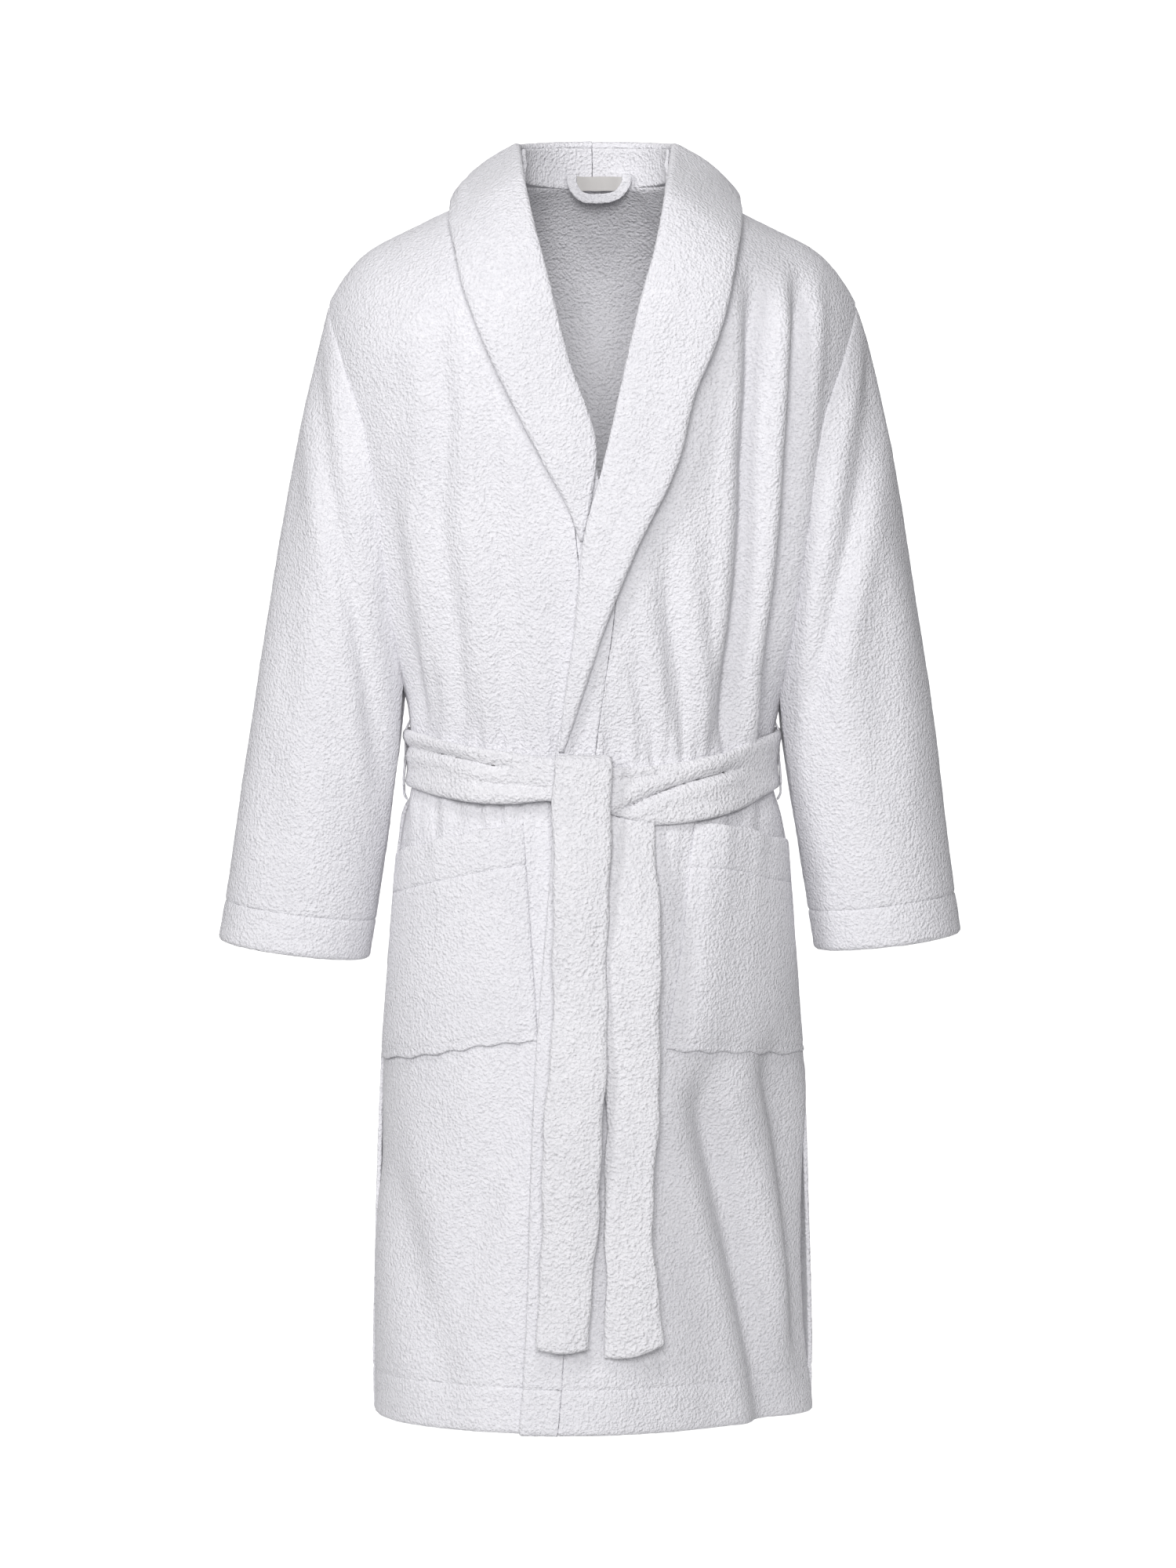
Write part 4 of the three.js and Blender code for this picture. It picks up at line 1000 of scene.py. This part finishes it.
def tail_sheet(left_line, right_line, top_z, foot_z, depth_line, end_bow, seed):
    length = top_z - foot_z
    shares = edged(int(length / 0.0033), length, 0.0034)
    s = edged(15, tail_wide, 0.0044)[None, :]
    z = (top_z - length * shares)[:, None]
    left = through(left_line, z)
    right = through(right_line, z)
    wobble = 0.0011 * np.sin(z * 38 + seed) + 0.0008 * np.sin(z * 91 + seed * 2)
    x = left * (1 - s) + right * s + wobble
    sag = end_bow(s) * ease(0.90, 1.0, shares[:, None])
    y = through(depth_line, z) - 0.002 * np.sin(math.pi * s)
    y = y + 0.0016 * np.sin(z * 24 + seed) * ease(0.06, 0.2, shares[:, None])
    y = y + 0.001 * ripple(x * 6, z * 2.4, seed)
    points = np.stack(np.broadcast_arrays(x, y, z + sag), axis=-1)
    return points, edge_rounding(shares, length, 0.0044), edge_rounding(s[0], tail_wide, 0.0046)


front_tail_points, tail_rows, tail_columns = tail_sheet(
    [(-0.545, -0.033), (-0.596, -0.036), (-0.787, -0.0365), (-0.822, -0.040), (-1.080, -0.050)],
    [(-0.545, 0.0185), (-0.579, 0.0185), (-0.645, 0.0155), (-0.787, 0.0135), (-0.928, 0.008),
     (-1.036, 0.000), (-1.090, -0.002)],
    -0.556, -1.088,
    [(-0.550, -0.144), (-0.575, -0.145), (-0.605, -0.1475), (-0.660, -0.155), (-0.720, -0.160),
     (-1.100, -0.162)],
    lambda s: -0.004 + 0.004 * np.abs(2 * s - 1) ** 2, 1.2)
over = np.linspace(1, 0, 12, endpoint=False)[:, None]
turn_over = math.pi / 2 * over
first = front_tail_points[:1]
over_rows = np.stack(np.broadcast_arrays(
    first[..., 0] + 0 * over, first[..., 1] + 0.0095 * (1 - np.cos(turn_over)) + 0.006 * (over > 0.99),
    first[..., 2] + 0.0062 * np.sin(turn_over)), axis=-1)
front_tail_points = np.concatenate([over_rows, front_tail_points[1:]])
full_above = (np.arange(1, len(tail_rows)) < 60) * 1.0
tail_rows = np.concatenate([[0.0, 0.75], np.ones(10), np.maximum(tail_rows[1:], full_above)])
front_tail = cloth(
    "belt_tail_front_terry", front_tail_points, 0.0074, tail_rows, tail_columns, material=belt_terry)
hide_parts("belt_tail_front")
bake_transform(front_tail)

back_tail_points, tail_rows, tail_columns = tail_sheet(
    [(-0.590, 0.008), (-0.966, 0.012), (-1.100, 0.0105)],
    [(-0.590, 0.055), (-0.618, 0.058), (-0.787, 0.0625), (-0.823, 0.062), (-0.987, 0.056),
     (-1.087, 0.065), (-1.10, 0.066)],
    -0.604, -1.097,
    [(-0.600, -0.1275), (-0.620, -0.133), (-0.660, -0.143), (-0.720, -0.1515), (-0.900, -0.154),
     (-1.100, -0.155)],
    lambda s: 0.012 * s ** 2 - 0.002 * np.sin(math.pi * s), 3.4)
back_tail = cloth(
    "belt_tail_back_terry", back_tail_points, 0.0062, tail_rows, tail_columns, material=belt_terry)
finish_sheet(back_tail, "tail_back", ["belt_tail_back"])

# Hanging loop: a narrow strip of terry folded over and stitched shut.
# Both ends are caught in the back neck seam.
loop_route = path([(-0.0195, 0.043, 0.001), (-0.0185, 0.0415, -0.010), (-0.010, 0.0405, -0.0205),
                   (0.008, 0.040, -0.0225), (0.024, 0.0405, -0.0185), (0.0315, 0.0415, -0.009),
                   (0.033, 0.043, 0.001)], 70)
loop_band = 0.0095
loop_edge = 0.0016
loop_s = edged(7, loop_band, loop_edge)[None, :]
loop_run = np.gradient(loop_route, axis=0)
loop_run = loop_run / np.linalg.norm(loop_run, axis=1, keepdims=True)
loop_side = np.cross(loop_run, np.array([0.0, 1.0, 0.0]))
loop_points = loop_route[:, None, :] + loop_side[:, None, :] * ((loop_s - 0.5) * loop_band)[..., None]
hanging_loop = cloth(
    "hanging_loop_terry", loop_points, 0.0036, closed_ends(len(loop_points), 0.0),
    edge_rounding(loop_s[0], loop_band, loop_edge))
finish_sheet(hanging_loop, "loop", ["hanging_loop"])

# Neck label: a flat woven ribbon, folded under at its ends, left plain.
# It is stitched to the back neck inside the hanging loop.
label_paint = bpy.data.materials.new("label_weave")
label_paint.use_nodes = True
label_tree = label_paint.node_tree
label_surface = label_tree.nodes["Principled BSDF"]
label_surface.inputs["Roughness"].default_value = 0.62
label_wire = Wire(label_tree, None)
label_place = label_wire.node("ShaderNodeTexCoord", output=3)
label_threads = label_wire.node(
    "ShaderNodeTexWave", {"bands_direction": "Z"}, output=1, Vector=label_place, Scale=640.0,
    Distortion=0.4)
label_colour = label_wire.node(
    "ShaderNodeValToRGB",
    {"stops": [(0.0, (0.42, 0.41, 0.40, 1.0)), (1.0, (0.60, 0.585, 0.57, 1.0))]},
    Fac=label_threads,
)
label_tree.links.new(label_colour.socket, label_surface.inputs["Base Color"])
label_wide = 0.044
label_high = 0.014
label_edge = 0.0006
label_s = edged(30, label_wide, label_edge)[None, :]
label_v = edged(12, label_high, label_edge)[:, None]
label_points = np.stack(np.broadcast_arrays(
    -0.0155 + label_wide * label_s, 0.0455 - 0.0012 * np.cos(3 * math.pi * label_s) - 0.002 * label_v,
    -0.001 - label_high * label_v), axis=-1)
label = cloth(
    "neck_label_ribbon", label_points, 0.0009, edge_rounding(label_v[:, 0], label_high, label_edge),
    edge_rounding(label_s[0], label_wide, label_edge), material=label_paint)
finish_sheet(label, "robe", ["neck_label"])

# Belt loops: a narrow terry strap on each side seam, standing outside the belt.
# Each is sewn down above and below it.
strap_band = 0.009
strap_edge = 0.001
strap_line = [(0.170, -0.5125), (0.172, -0.518), (0.1752, -0.525), (0.176, -0.550),
              (0.1778, -0.574), (0.1778, -0.584), (0.1745, -0.592)]
for loop_name, loop_sign in (("right", -1.0), ("left", 1.0)):
    strap_route = path([(loop_sign * x, 0.0, z) for x, z in strap_line], 60)
    strap_s = edged(6, strap_band, strap_edge)[None, :]
    strap_run = np.array([0.0, 1.0, 0.0]) * ((strap_s - 0.5) * strap_band)[..., None]
    strap_points = strap_route[:, None, :] + strap_run
    strap = cloth(
        f"belt_loop_{loop_name}_terry", strap_points, 0.0022, closed_ends(len(strap_points), 0.0),
        edge_rounding(strap_s[0], strap_band, strap_edge), flip=loop_sign < 0)
    finish_sheet(strap, "robe", [f"belt_loop_{loop_name}"])
